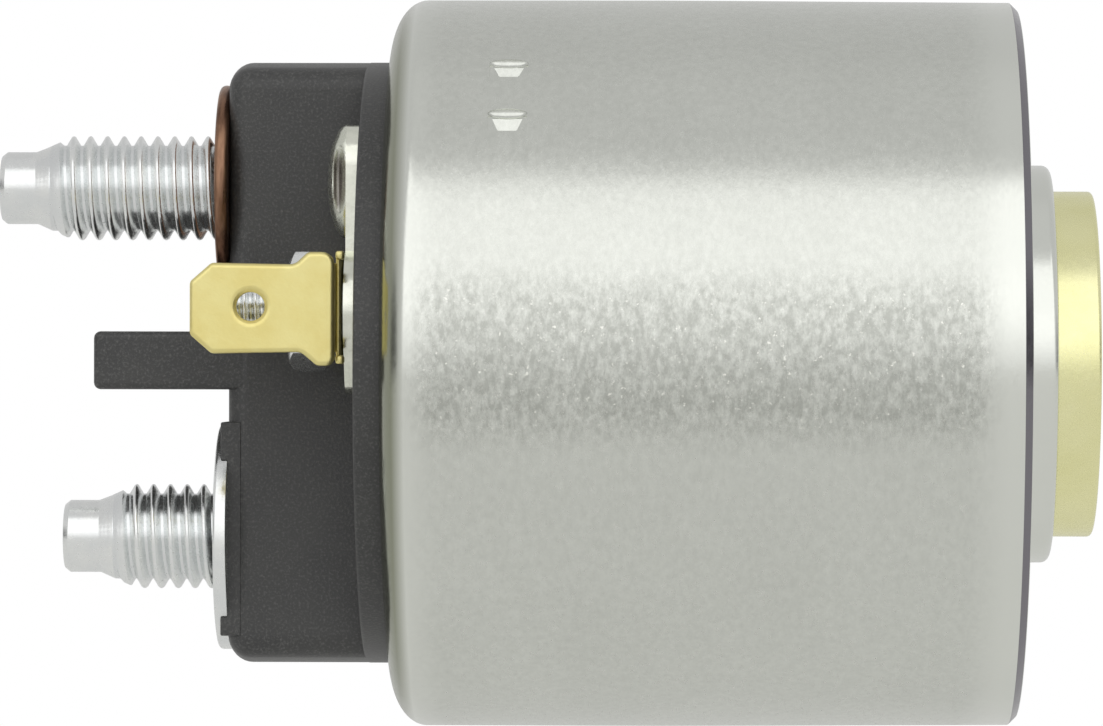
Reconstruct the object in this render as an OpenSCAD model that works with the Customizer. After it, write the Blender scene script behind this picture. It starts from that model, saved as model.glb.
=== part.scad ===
// Solenoid relay of a starter motor, in millimetres.
// X is the solenoid's axis: +X leaves the mounting face towards the gearbox, -X points to the cable studs.
// +Z is up, -Y is the side with the flat and the push-on terminal. The origin is the mounting face's centre.

/* [Case] */
// Outside diameter of the steel case
case_od = 54; // [52:0.5:58]
// Length of the case, from its mounting face to its rolled rear edge
case_len = 46.1; // [45:0.1:56]
// Wall of the case
case_wall = 2; // [1.6:0.1:2.4]
// Thickness of the base that holds the tapped holes
base_t = 6; // [5:0.5:8]
// Thickness of the lip that is rolled over the cap
lip_t = 1.8; // [1.4:0.1:2.4]
// Length of the rolled rear shoulder along the case
shoulder_r = 3; // [2:0.25:3.4]
// Depth of the rolled rear shoulder, from the case's outside inwards
shoulder_drop = 4.3; // [2.5:0.1:4.4]
// Radius of the case's front edge
front_edge_r = 0.75; // [0.3:0.05:1.5]
// Wall of the centring collar round the guide sleeve
collar_wall = 1.925; // [1.5:0.025:2.6]
// Height of the collar over the mounting face
collar_h = 2.5; // [1.5:0.05:4]
// Radius of the collar's edge
collar_edge_r = 0.6; // [0.3:0.05:1.2]
// Distance of the tapped mounting holes' axes from the case's outside
bolt_edge = 6.5; // [5:0.25:8]
// Number of tapped mounting holes
bolt_count = 3; // [2:1:6]
// Tapping diameter of the M5 mounting holes
bolt_hole_d = 4.2; // [3.3:0.1:5]

/* [Guide sleeve] */
// Outside diameter of the brass guide sleeve
sleeve_d = 25.6; // [24:0.1:26.4]
// Wall of the guide sleeve
sleeve_wall = 0.8; // [0.5:0.1:1.2]
// How far the sleeve stands over the mounting face
sleeve_out = 5.67; // [4.5:0.01:10]

/* [Terminal cap] */
// Width of the case's rolled shoulder beside the moulded cap
shoulder_w = 4.7; // [4:0.1:5]
// Wall of the cap's end behind the contact chamber
cap_end_wall = 1.5; // [1:0.1:5]
// Height of the round ledge over the case's rear edge
ledge_h = 2; // [1.5:0.1:3]
// Distance of the cap's flat from the axis
cap_flat = 6.2; // [5.8:0.1:8]
// Radius of the cap's outer edge
cap_edge_r = 1.6; // [0.8:0.1:2]
// Wall round the contact chamber
cap_wall = 2.3; // [1.8:0.1:2.6]
// Wall between the contact chamber and the flat
cap_flat_wall = 1.8; // [1.4:0.1:2.2]
// Thickness of the rim that the case holds
cap_rim_t = 3; // [2:0.1:4]
// Thickness of the barrier wall between the studs
barrier_t = 4.3; // [2.5:0.1:6]
// Height of the barrier wall over the cap
barrier_h = 9.8; // [5:0.1:14]
// Breadth of the barrier wall, measured from the flat
barrier_depth = 20; // [10:0.5:24]
// Radius of the barrier wall's corners
barrier_corner_r = 0.5; // [0.2:0.1:1.2]
// Thickness of the rubber ring under the cap
gasket_t = 0.8; // [0.5:0.1:1.2]

/* [Cable studs] */
// Distance of the two studs' heads from the axis
stud_head_in = 6.45; // [5.5:0.05:7.4]
// Major diameter of the rolled M8 thread
stud_d = 7.85; // [7.6:0.05:8]
// Pitch of the stud thread
stud_pitch = 1.25; // [1:0.05:1.5]
// Height of the battery stud over the cap
battery_stud_h = 17.3; // [14:0.1:24]
// Height of the motor stud over the cap
motor_stud_h = 12.55; // [11:0.05:20]
// Diameter of the plain point at a stud's tip
stud_point_d = 5.2; // [4.6:0.1:5.8]
// Diameter of the knurled shank inside the cap
stud_shank_d = 9; // [8.6:0.1:10]
// Clearance of a stud's head, which is the fixed contact, from the chamber's wall
stud_head_gap = 0.55; // [0.3:0.05:1.2]
// Thickness of a stud's head
stud_head_t = 2.9; // [2:0.1:3.4]
// Diameter of the copper washer
battery_washer_d = 15.3; // [14:0.1:17]
// Thickness of the copper washer
battery_washer_t = 1; // [0.6:0.1:1.6]
// Diameter of the steel washer
motor_washer_d = 16.7; // [14:0.1:17]
// Thickness of the steel washer
motor_washer_t = 1; // [0.8:0.1:1.8]

/* [Control terminal] */
// Distance of the control stud from the cap's flat
control_stud_off = 5.8; // [5:0.1:6.5]
// Height of the control stud and spade over the axis
control_z = 3.95; // [2:0.05:6]
// Diameter of the M5 control stud
control_stud_d = 4.9; // [4:0.05:5]
// Height of the control stud over the ledge
control_stud_h = 10.4; // [8:0.1:14]
// Width across the flats of the nut
nut_flats = 8; // [7:0.1:8.4]
// Height of the nut
nut_h = 2.8; // [2.2:0.1:4]
// Thickness of the brass lock plate under the spade
lock_plate_t = 0.8; // [0.4:0.05:0.8]
// Width of the spade's blade
blade_w = 6.35; // [5:0.05:7]
// Thickness of the spade's sheet
blade_t = 0.8; // [0.5:0.1:1]
// Length of the spade, from its foot to its tip
blade_len = 10.3; // [9:0.1:14]
// Width of the spade's foot
foot_w = 8.3; // [8:0.1:9.4]
// Distance between the blade and the control stud's axis
blade_off = 6; // [5.8:0.1:7]
// Diameter of the latching hole in the blade
latch_hole_d = 2.05; // [1.5:0.05:2.6]
// Thickness of the tinned strap
strap_t = 0.6; // [0.4:0.05:1]
// Width of the tinned strap
strap_w = 6; // [4:0.1:6.5]
// Length of the strap above the control stud
strap_up = 13.35; // [12:0.05:15]
// Length of the strap below the control stud
strap_down = 6.25; // [5.2:0.05:8]
// Length of the solder dome
solder_len = 8.3; // [5:0.1:9]
// Height of the solder dome
solder_h = 1.45; // [0.6:0.05:2]

/* [Coil] */
// Thickness of the fixed core's plate
plate_t = 5; // [4:0.1:6]
// Wall of the bobbin's tube
bobbin_wall = 1.1; // [0.8:0.1:1.6]
// Thickness of the bobbin's flanges
bobbin_flange_t = 1.5; // [1:0.1:2]
// How far the windings' wrap lies inside the edge of the bobbin's flanges
winding_in = 1.6; // [0.6:0.1:4]
// Thickness of the insulating wrap
wrap_t = 0.5; // [0.3:0.05:0.8]
// Diameter of the leads
lead_d = 1.2; // [0.6:0.05:1.4]

/* [Plunger] */
// Travel of the plunger
plunger_travel = 10; // [7:0.1:11]
// Length of the plunger
plunger_len = 18.1; // [17:0.1:20]
// Running clearance between the plunger and the sleeve, on the radius
plunger_gap = 0.08; // [0.03:0.01:0.1]
// How far the plunger's end lies inside the sleeve's mouth
plunger_recess = 1.17; // [0.5:0.01:3]
// Width of the plunger's lever slot
slot_w = 7; // [5:0.1:9]
// Depth of the plunger's lever slot
slot_depth = 10.5; // [9.5:0.1:11.5]
// Diameter of the lever's cross pin
lever_pin_d = 3.2; // [2.5:0.1:3.4]
// Wall of the plunger round the bore for the return spring
plunger_wall = 5.42; // [4.4:0.01:5.6]
// Depth of the spring's bore in the fixed core
core_bore_depth = 4; // [2:0.1:5]
// Thickness of the anti-stick shim
shim_t = 0.3; // [0.2:0.05:0.5]

/* [Contact] */
// Travel of the moving contact until it closes
contact_travel = 2.4; // [1.8:0.1:3]
// Travel of the rod past the contact's closing
contact_overtravel = 0.8; // [0.4:0.1:1.2]
// Diameter of the push rod
rod_d = 4; // [3:0.1:4.6]
// Thickness of the contact bridge
bridge_t = 2; // [1.5:0.1:3]
// Clearance of the contact bridge's ends from the chamber's wall
bridge_end_gap = 2; // [1:0.1:3]
// Length of the contact spring at rest
contact_spring_len = 4; // [3.4:0.1:5]

/* [Hidden] */
$fn = 96;
// Overrun of every cut, and the clearances between pieces
cut = 1;
fit_gap = 0.05;
part_gap = 0.2;
rod_gap = 0.06;
stop_gap = 0.1;
push_gap = 0.2;
rest_gap = 0.3;
// Stations along X of the case and what stands still in it
case_ri = case_od / 2 - case_wall;
cap_d = case_od - 2 * shoulder_w;
collar_d = sleeve_d + 2 * collar_wall;
bolt_pcd = case_od - 2 * bolt_edge;
x_base = -base_t;
x_rear = -case_len;
x_lip = x_rear + lip_t;
x_cap_in = x_lip + cap_rim_t;
x_plate = x_cap_in + gasket_t;
x_pole = x_plate + plate_t;
x_ledge = x_rear - ledge_h;
lip_ri = cap_d / 2 + part_gap;
rim_r = case_ri - part_gap;
// Sleeve, bobbin and windings, from the inside out
sleeve_ri = sleeve_d / 2 - sleeve_wall;
bobbin_ri = sleeve_d / 2 + fit_gap;
bobbin_ro = bobbin_ri + bobbin_wall;
bobbin_flange_r = case_ri - 2 * part_gap;
wrap_ri = bobbin_flange_r - winding_in - wrap_t;
pull_in_share = 0.524;
pull_in_ri = bobbin_ro + fit_gap;
winding_t = wrap_ri - 2 * fit_gap - pull_in_ri;
pull_in_t = pull_in_share * winding_t;
hold_in_t = winding_t - pull_in_t;
hold_in_ri = pull_in_ri + pull_in_t + fit_gap;
x_wind_rear = x_pole + bobbin_flange_t;
x_wind_front = x_base - bobbin_flange_t;
// Plunger stations at rest
x_sleeve_end = sleeve_out;
x_plunger_end = x_sleeve_end - plunger_recess;
x_plunger_face = x_plunger_end - plunger_len;
x_core = x_plunger_face - plunger_travel - stop_gap - shim_t;
x_slot = x_plunger_end - slot_depth;
slot_web = 3.5;
x_push = x_slot - slot_web;
plunger_r = sleeve_ri - plunger_gap;
plunger_chamfer = 0.8;
lever_pin_in = 2.9;
x_core_bore = x_core - core_bore_depth;
spring_bore_r = plunger_r - plunger_wall;
shim_ri = spring_bore_r + rest_gap;
shim_ro = sleeve_ri - 2 * rest_gap;
// Contact train at rest, from the core plate towards the cap
rod_travel = contact_travel + contact_overtravel;
x_rod_end = x_push - plunger_travel + rod_travel - push_gap;
spring_seat_t = 1.5;
bush_flange_t = 0.8;
bridge_washer_t = 0.8;
rod_clip_t = 0.6;
rod_tip = 0.7;
x_seat = x_plate - rest_gap;
x_contact_spring = x_seat - spring_seat_t;
x_bush = x_contact_spring - contact_spring_len;
x_bridge = x_bush - bush_flange_t;
x_bridge_face = x_bridge - bridge_t;
x_washer = x_bridge_face - bridge_washer_t;
x_clip = x_washer - rod_clip_t;
x_rod_tip = x_clip - rod_tip;
x_contact = x_bridge_face - contact_travel - stop_gap;
x_ceiling = x_contact - stud_head_t;
chamber_recess_depth = 2;
x_recess = x_ceiling - chamber_recess_depth;
x_cap = x_recess - cap_end_wall;
rod_bore_r = rod_d / 2 + rod_gap;
rod_groove_share = 0.7;
rod_groove_r = rod_groove_share * rod_d / 2;
rod_clip_r = 3.4;
clip_mouth_share = 0.8;
rod_edge = 0.4;
// Chamber, and how near the heads and the bridge come to its flat wall
chamber_r = cap_d / 2 - cap_wall;
chamber_flat = cap_flat - cap_flat_wall;
seat_r = chamber_flat - part_gap;
bridge_w = 2 * (chamber_flat - 2 * part_gap);
bridge_len = 2 * (chamber_r - bridge_end_gap);
hub_wall_share = 0.48;
bush_hub_r = rod_d / 2 + hub_wall_share * (bridge_w - rod_d) / 2 + fit_gap;
head_flat = chamber_flat - part_gap;
stud_spacing = stud_head_in + chamber_r - stud_head_gap;
stud_head_r = stud_spacing / 2 - stud_head_in;
// Thread form: shares of one pitch along the axis, and of the pitch in depth
thread_root_share = 1 / 4;
thread_flank_share = 5 / 16;
thread_depth_share = 0.6134;
stud_lead_share = 0.53;
battery_lead_in = 4.2;
motor_lead_in = 3.5;
stud_gap = 0.15;
stud_point_edge = 0.45;
washer_edge = 0.3;
// Control terminal
control_y = -(cap_flat + control_stud_off);
control_pitch = 0.8;
control_shank_d = 6;
control_head_d = 8.4;
control_head_t = 1.9;
control_lead_in = 0.9;
x_strap = x_ledge - strap_t;
x_lock = x_strap - lock_plate_t;
x_foot = x_lock - blade_t;
blade_y = control_y - blade_off;
blade_tip_chamfer_len = 1.56;
blade_tip_chamfer_w = 1.36;
blade_flare_len = 1.3;
blade_shoulder_len = 0.42;
latch_hole_back = 4.27;
bend_r = 0.95;
foot_in = 4.1;
lock_front = 5.5;
lock_tab_w = 0.7;
lock_tab_depth = 1.4;
lock_tab_h = 0.5;
nut_turn = 20;
nut_face_share = 0.95;
strap_off = 4.1;
strap_y = -(cap_flat + strap_off);
strap_lug_r = 4.6;
strap_hole_r = 0.8;
solder_w = 5.4;
control_lead_z = control_z + strap_up - solder_len / 2;
lead_gap = 0.3;
lead_hole_r = lead_d / 2 + lead_gap;
motor_lead_y = bridge_w / 2 + lead_d / 2 + 3 * lead_gap;
motor_lead_share = 0.3;
motor_lead_z = -(stud_spacing / 2 + motor_lead_share * stud_head_r);
ground_lead_y = hold_in_ri + hold_in_t / 2;
// Staking dents over the core plate's groove
stake_angles = [39.6, 51.4, 219.6, 231.4];
stake_r = 1.3;
stake_depth = 0.7;
stake_groove_w = 3.2;
stake_groove_depth = 0.9;
stake_place_share = 0.58;
x_stake = x_plate + stake_place_share * plate_t;
// Wire of the springs, their mean radii and turns
plunger_wire_d = 1;
plunger_turns = 7;
contact_wire_d = 0.7;
contact_turns = 2.5;
contact_spring_r = seat_r - contact_wire_d;
opening_wire_d = 0.6;
opening_turns = 4;
opening_spring_small_r = 2.6;
opening_spring_large_r = chamber_flat - opening_wire_d / 2 - part_gap;
rings_per_turn = 8;
wire_sides = 6;

// Points of an arc about a centre, from one angle to another
function arc(centre, r, from, to, steps = 6) = [
  for (i = [0:steps])
    let (a = from + (to - from) * i / steps)
      centre + r * [cos(a), sin(a)]
];

// Outline of a rectangle with round corners
function round_rect(low, high, r) = concat(
  arc([high[0] - r, high[1] - r], r, 0, 90),
  arc([low[0] + r, high[1] - r], r, 90, 180),
  arc([low[0] + r, low[1] + r], r, 180, 270),
  arc([high[0] - r, low[1] + r], r, 270, 360)
);

// Outline points [radius, station] of a thread that starts at x0 and runs towards -X
function thread(x0, turns, pitch, r) = [
  for (i = [0:turns - 1])
    each [
      [r - thread_depth_share * pitch, x0 - i * pitch],
      [r - thread_depth_share * pitch, x0 - (i + thread_root_share) * pitch],
      [r, x0 - (i + thread_root_share + thread_flank_share) * pitch],
      [r, x0 - (i + 1 - thread_flank_share) * pitch],
    ]
];

// Turns an outline of [radius, station] points about X
module turned() {
  rotate([0, 90, 0])
    rotate_extrude()
      children();
}

module round_bar(x0, x1, r) {
  translate([x0, 0, 0])
    rotate([0, 90, 0])
      cylinder(h = x1 - x0, r = r);
}

module ring(x0, x1, r_in, r_out) {
  difference() {
    round_bar(x0, x1, r_out);
    round_bar(x0 - cut, x1 + cut, r_in);
  }
}

module at(y, z) {
  translate([0, y, z])
    children();
}

// Extrudes an outline of [x, z] points from y0 to y1
module along_y(y0, y1) {
  translate([0, y1, 0])
    rotate([90, 0, 0])
      linear_extrude(height = y1 - y0)
        children();
}

// Extrudes an outline of [x, y] points from z0 to z1
module along_z(z0, z1) {
  translate([0, 0, z0])
    linear_extrude(height = z1 - z0)
      children();
}

// Coil spring from x0 to x1 whose mean radius runs from r0 to r1
module spring(x0, x1, r0, r1, wire_d, turns) {
  rings = turns * rings_per_turn;
  wire_r = wire_d / 2;
  points = [
    for (i = [0:rings])
      let (
        share = i / rings,
        a = 360 * i / rings_per_turn,
        x = x0 + wire_r + (x1 - x0 - wire_d) * share,
        r = r0 + (r1 - r0) * share
      )
        for (j = [0:wire_sides - 1])
          let (b = 360 * j / wire_sides)
            [
              x + wire_r * sin(b),
              (r + wire_r * cos(b)) * cos(a),
              (r + wire_r * cos(b)) * sin(a),
            ]
  ];
  last = rings * wire_sides;
  faces = concat(
    [
      for (i = [0:rings - 1], j = [0:wire_sides - 1])
        let (k = (j + 1) % wire_sides)
          each [
            [i * wire_sides + j, (i + 1) * wire_sides + j, i * wire_sides + k],
            [i * wire_sides + k, (i + 1) * wire_sides + j, (i + 1) * wire_sides + k],
          ]
    ],
    [[for (j = [0:wire_sides - 1]) j]],
    [[for (j = [wire_sides - 1:-1:0]) last + j]]
  );
  polyhedron(points = points, faces = faces);
}

module case() {
  ri = bobbin_ri;
  color("silver")
    difference() {
      union() {
        turned()
          polygon(concat(
            [[ri, collar_h]],
            arc([collar_d / 2 - collar_edge_r, collar_h - collar_edge_r], collar_edge_r, 90, 0),
            [[collar_d / 2, 0]],
            arc([case_od / 2 - front_edge_r, -front_edge_r], front_edge_r, 90, 0),
            [
              for (p = arc([0, 0], 1, 0, -90, 8))
                [case_od / 2 - shoulder_drop * (1 - p[0]), x_rear + shoulder_r * (1 + p[1])]
            ],
            [
              [lip_ri, x_rear],
              [lip_ri, x_lip],
              [case_ri, x_lip],
              [case_ri, x_base],
              [ri, x_base],
            ]
          ));
        for (a = stake_angles)
          stake(a, case_ri - stake_depth, case_ri + case_wall / 2, stake_r - fit_gap);
      }
      for (a = stake_angles)
        stake(a, case_od / 2 - stake_depth, case_od / 2 + cut, stake_r);
      for (i = [0:bolt_count - 1])
        rotate([360 * i / bolt_count, 0, 0])
          at(0, bolt_pcd / 2)
            round_bar(x_base - cut, cut, bolt_hole_d / 2);
    }
}

// Round peg along a radius, at an angle from the -Y side upwards
module stake(angle, r0, r1, r) {
  rotate([-angle, 0, 0])
    translate([x_stake, -r0, 0])
      rotate([90, 0, 0])
        cylinder(h = r1 - r0, r = r);
}

module guide_sleeve() {
  color("khaki")
    ring(x_pole + part_gap, x_sleeve_end, sleeve_ri, sleeve_d / 2);
}

module fixed_core() {
  color("lightslategray")
    difference() {
      union() {
        round_bar(x_plate, x_pole, case_ri - part_gap / 2);
        round_bar(x_pole - part_gap, x_core, sleeve_ri - fit_gap);
      }
      round_bar(x_plate - cut, x_core + cut, rod_bore_r);
      round_bar(x_core_bore, x_core + cut, spring_bore_r);
      ring(x_stake - stake_groove_w / 2, x_stake + stake_groove_w / 2, case_ri - stake_groove_depth, case_od);
      at(motor_lead_y, motor_lead_z)
        round_bar(x_plate - cut, x_pole + cut, lead_hole_r);
      at(strap_y, control_lead_z)
        round_bar(x_plate - cut, x_pole + cut, lead_hole_r);
    }
}

module coil_bobbin() {
  color("dimgray")
    difference() {
      union() {
        round_bar(x_pole, x_base, bobbin_ro);
        round_bar(x_pole, x_wind_rear, bobbin_flange_r);
        round_bar(x_wind_front, x_base, bobbin_flange_r);
      }
      round_bar(x_pole - cut, x_base + cut, bobbin_ri);
      at(motor_lead_y, motor_lead_z)
        round_bar(x_pole - cut, x_wind_rear + cut, lead_hole_r);
      at(strap_y, control_lead_z)
        round_bar(x_pole - cut, x_wind_rear + cut, lead_hole_r);
      at(ground_lead_y, 0)
        round_bar(x_pole - cut, x_wind_rear + cut, lead_hole_r);
    }
}

module pull_in_winding() {
  color("peru")
    ring(x_wind_rear, x_wind_front, pull_in_ri, pull_in_ri + pull_in_t);
}

module hold_in_winding() {
  color("sienna")
    ring(x_wind_rear, x_wind_front, hold_in_ri, hold_in_ri + hold_in_t);
}

module winding_wrap() {
  color("beige")
    ring(x_wind_rear, x_wind_front, wrap_ri, wrap_ri + wrap_t);
}

module anti_stick_shim() {
  color("gold")
    ring(x_core, x_core + shim_t, shim_ri, shim_ro);
}

module plunger() {
  color("slategray")
    difference() {
      turned()
        polygon([
          [0, x_plunger_face],
          [plunger_r - plunger_chamfer, x_plunger_face],
          [plunger_r, x_plunger_face + plunger_chamfer],
          [plunger_r, x_plunger_end - plunger_chamfer],
          [plunger_r - plunger_chamfer, x_plunger_end],
          [0, x_plunger_end],
        ]);
      round_bar(x_plunger_face - cut, x_push, spring_bore_r);
      translate([x_slot, -plunger_r - cut, -slot_w / 2])
        cube([slot_depth + cut, 2 * (plunger_r + cut), slot_w]);
      translate([x_plunger_end - lever_pin_in, 0, -plunger_r - cut])
        cylinder(h = 2 * (plunger_r + cut), r = lever_pin_d / 2 + fit_gap);
    }
}

module lever_pin() {
  half = sqrt(pow(plunger_r, 2) - pow(lever_pin_d / 2, 2)) - rest_gap;
  color("lightsteelblue")
    translate([x_plunger_end - lever_pin_in, 0, -half])
      cylinder(h = 2 * half, r = lever_pin_d / 2);
}

module plunger_return_spring() {
  r = spring_bore_r - plunger_wire_d;
  color("gray")
    spring(x_core_bore, x_push, r, r, plunger_wire_d, plunger_turns);
}

module push_rod() {
  r = rod_d / 2;
  color("lightgray")
    turned()
      polygon([
        [0, x_rod_tip],
        [r - rod_edge, x_rod_tip],
        [r, x_rod_tip + rod_edge],
        [r, x_clip - fit_gap],
        [rod_groove_r, x_clip - fit_gap],
        [rod_groove_r, x_washer],
        [r, x_washer],
        [r, x_rod_end - rod_edge],
        [r - rod_edge, x_rod_end],
        [0, x_rod_end],
      ]);
}

module spring_seat() {
  color("maroon")
    difference() {
      union() {
        round_bar(x_contact_spring, x_seat, seat_r);
        round_bar(x_contact_spring - bush_flange_t, x_seat, contact_spring_r - contact_wire_d);
      }
      round_bar(x_contact_spring - 2 * bush_flange_t, x_seat + cut, rod_d / 2 + fit_gap / 2);
    }
}

module contact_spring() {
  color("gray")
    spring(
      x_bush, x_contact_spring, contact_spring_r, contact_spring_r,
      contact_wire_d, contact_turns
    );
}

module bridge_bush() {
  color("maroon")
    difference() {
      union() {
        round_bar(x_bridge, x_bush, seat_r);
        round_bar(x_bridge_face, x_bridge + fit_gap, bush_hub_r);
      }
      round_bar(x_bridge_face - cut, x_bush + cut, rod_bore_r);
    }
}

module contact_bridge() {
  r = bridge_w / 2;
  color("orangered")
    difference() {
      intersection() {
        translate([x_bridge_face, -r, -bridge_len / 2])
          cube([bridge_t, bridge_w, bridge_len]);
        round_bar(x_bridge_face - cut, x_bridge + cut, bridge_len / 2);
      }
      round_bar(x_bridge_face - cut, x_bridge + cut, bush_hub_r + fit_gap);
    }
}

module bridge_washer() {
  color("maroon")
    ring(x_washer, x_bridge_face, rod_d / 2 + fit_gap / 2, seat_r);
}

module rod_clip() {
  color("darkgray")
    difference() {
      ring(x_clip, x_washer, rod_groove_r + fit_gap, rod_clip_r);
      translate([x_clip - cut, 0, -clip_mouth_share * rod_groove_r])
        cube([rod_clip_t + 2 * cut, rod_clip_r + cut, 2 * clip_mouth_share * rod_groove_r]);
    }
}

module contact_return_spring() {
  color("gray")
    spring(
      x_recess, x_clip, opening_spring_large_r, opening_spring_small_r,
      opening_wire_d, opening_turns
    );
}

// Half-space on the flat side of the cap, from y = -depth outwards
module beyond_flat(x0, x1, depth) {
  translate([x0, -cap_d, -cap_d])
    cube([x1 - x0, cap_d - depth, 2 * cap_d]);
}

module terminal_cap() {
  r = cap_d / 2;
  color("#3c3c3c")
    difference() {
      union() {
        difference() {
          turned()
            polygon(concat(
              [[0, x_cap_in], [rim_r, x_cap_in], [rim_r, x_lip], [r, x_lip]],
              arc([r - cap_edge_r, x_cap + cap_edge_r], cap_edge_r, 0, -90),
              [[0, x_cap]]
            ));
          beyond_flat(x_cap - cut, x_ledge, cap_flat);
        }
        along_y(-cap_flat, barrier_depth - cap_flat)
          polygon(round_rect(
            [x_cap - barrier_h, -barrier_t / 2],
            [x_ceiling - chamber_recess_depth, barrier_t / 2],
            barrier_corner_r
          ));
      }
      difference() {
        round_bar(x_ceiling, x_cap_in + cut, chamber_r);
        beyond_flat(x_ceiling - cut, x_cap_in + 2 * cut, chamber_flat);
      }
      round_bar(x_recess, x_ceiling + cut, chamber_flat);
      for (z = [-stud_spacing / 2, stud_spacing / 2])
        at(0, z)
          round_bar(x_cap - cut, x_ceiling + cut, stud_shank_d / 2 + fit_gap);
      at(control_y, control_z) {
        round_bar(x_ledge - cut, x_cap_in, control_shank_d / 2 + fit_gap);
        round_bar(x_cap_in - control_head_t - part_gap, x_cap_in + cut, control_head_d / 2 + fit_gap);
      }
      at(strap_y, control_lead_z)
        round_bar(x_ledge - cut, x_cap_in + cut, lead_hole_r);
    }
}

module cap_gasket() {
  color("black")
    ring(x_cap_in, x_plate, chamber_r + part_gap, rim_r);
}

// Cable stud at height z: round head, knurled shank, thread, and a plain point
module cable_stud(z, out, washer_t, lead_in) {
  r = stud_d / 2;
  root_r = r - thread_depth_share * stud_pitch;
  point_r = stud_point_d / 2;
  x_thread = x_cap - washer_t - stud_gap;
  turns = floor((out - washer_t - stud_gap - lead_in) / stud_pitch);
  x_thread_end = x_thread - turns * stud_pitch;
  x_point = x_cap - out + lead_in * stud_lead_share;
  difference() {
    at(0, z)
      turned()
        polygon(concat(
          [
            [0, x_contact],
            [stud_head_r, x_contact],
            [stud_head_r, x_ceiling],
            [stud_shank_d / 2, x_ceiling],
            [stud_shank_d / 2, x_cap],
            [root_r, x_cap],
          ],
          thread(x_thread, turns, stud_pitch, r),
          [
            [root_r, x_thread_end],
            [root_r, (x_thread_end + x_point) / 2],
            [point_r, x_point],
          ],
          arc([point_r - stud_point_edge, x_cap - out + stud_point_edge], stud_point_edge, 0, -90),
          [[0, x_cap - out]]
        ));
    beyond_flat(x_ceiling - part_gap, x_contact + cut, head_flat);
  }
}

// Washer on the cap's end, with its outer edge rounded
module stud_washer(z, d, t) {
  edge = min(washer_edge, t / 2);
  at(0, z)
    turned()
      polygon(concat(
        [[stud_d / 2 + stop_gap, x_cap], [d / 2, x_cap]],
        arc([d / 2 - edge, x_cap - t + edge], edge, 0, -90, 3),
        [[stud_d / 2 + stop_gap, x_cap - t]]
      ));
}

module battery_stud() {
  color("lightsteelblue")
    cable_stud(stud_spacing / 2, battery_stud_h, battery_washer_t, battery_lead_in);
}

module battery_washer() {
  color("chocolate")
    stud_washer(stud_spacing / 2, battery_washer_d, battery_washer_t);
}

module motor_stud() {
  color("lightsteelblue")
    cable_stud(-stud_spacing / 2, motor_stud_h, motor_washer_t, motor_lead_in);
}

module motor_washer() {
  color("lightgray")
    stud_washer(-stud_spacing / 2, motor_washer_d, motor_washer_t);
}

module control_stud() {
  r = control_stud_d / 2;
  x_tip = x_ledge - control_stud_h;
  x_thread = x_foot - stud_gap;
  turns = floor((x_thread - x_tip - control_lead_in) / control_pitch);
  root_r = r - thread_depth_share * control_pitch;
  color("lightsteelblue")
    at(control_y, control_z)
      turned()
        polygon(concat(
          [
            [0, x_cap_in - part_gap],
            [control_head_d / 2, x_cap_in - part_gap],
            [control_head_d / 2, x_cap_in - part_gap - control_head_t],
            [control_shank_d / 2, x_cap_in - part_gap - control_head_t],
            [control_shank_d / 2, x_ledge],
            [r, x_ledge],
            [r, x_foot],
          ],
          thread(x_thread, turns, control_pitch, r),
          [
            [root_r, x_thread - turns * control_pitch],
            [root_r, x_tip + stud_gap],
            [root_r - stud_gap, x_tip],
            [0, x_tip],
          ]
        ));
}

module control_nut() {
  corner_r = nut_flats / 2 / cos(30);
  face_r = nut_face_share * nut_flats / 2;
  far_r = corner_r + nut_flats - 2 * face_r;
  chamfer = (far_r - face_r) * tan(30);
  color("slategray")
    at(control_y, control_z)
      difference() {
        intersection() {
          translate([x_foot - nut_h, 0, 0])
            rotate([nut_turn, 0, 0])
              rotate([0, 90, 0])
                cylinder(h = nut_h, r = corner_r, $fn = 6);
          turned()
            polygon([
              [0, x_foot],
              [face_r, x_foot],
              [far_r, x_foot - chamfer],
              [far_r, x_foot - nut_h + chamfer],
              [face_r, x_foot - nut_h],
              [0, x_foot - nut_h],
            ]);
        }
        round_bar(x_foot - nut_h - cut, x_foot + cut, control_stud_d / 2 + fit_gap);
      }
}

// Bent sheet: the foot lies on the lock plate, the blade points away from the case
module spade_terminal() {
  x_tip = x_lock - blade_len;
  y_out = blade_y - blade_t / 2;
  y_in = control_y + foot_in;
  half = blade_w / 2;
  wide = foot_w / 2;
  x_wide = x_lock - bend_r - blade_shoulder_len;
  color("khaki")
    difference() {
      intersection() {
        along_z(control_z - wide, control_z + wide)
          polygon(concat(
            [[x_tip, y_out]],
            arc([x_lock - bend_r, y_out + bend_r], bend_r, -90, 0),
            [[x_lock, y_in], [x_foot, y_in]],
            arc([x_lock - bend_r, y_out + bend_r], bend_r - blade_t, 0, -90),
            [[x_tip, y_out + blade_t]]
          ));
        along_y(y_out - cut, y_in + cut)
          translate([0, control_z])
            polygon([
              [x_lock + cut, -wide],
              [x_lock + cut, wide],
              [x_wide, wide],
              [x_wide - blade_flare_len, half],
              [x_tip + blade_tip_chamfer_len, half],
              [x_tip, half - blade_tip_chamfer_w],
              [x_tip, blade_tip_chamfer_w - half],
              [x_tip + blade_tip_chamfer_len, -half],
              [x_wide - blade_flare_len, -half],
              [x_wide, -wide],
            ]);
      }
      translate([x_tip + latch_hole_back, y_out - cut, control_z])
        rotate([-90, 0, 0])
          cylinder(h = blade_t + 2 * cut, r = latch_hole_d / 2);
      at(control_y, control_z)
        round_bar(x_foot - cut, x_lock + cut, control_stud_d / 2 + stop_gap);
    }
}

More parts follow.
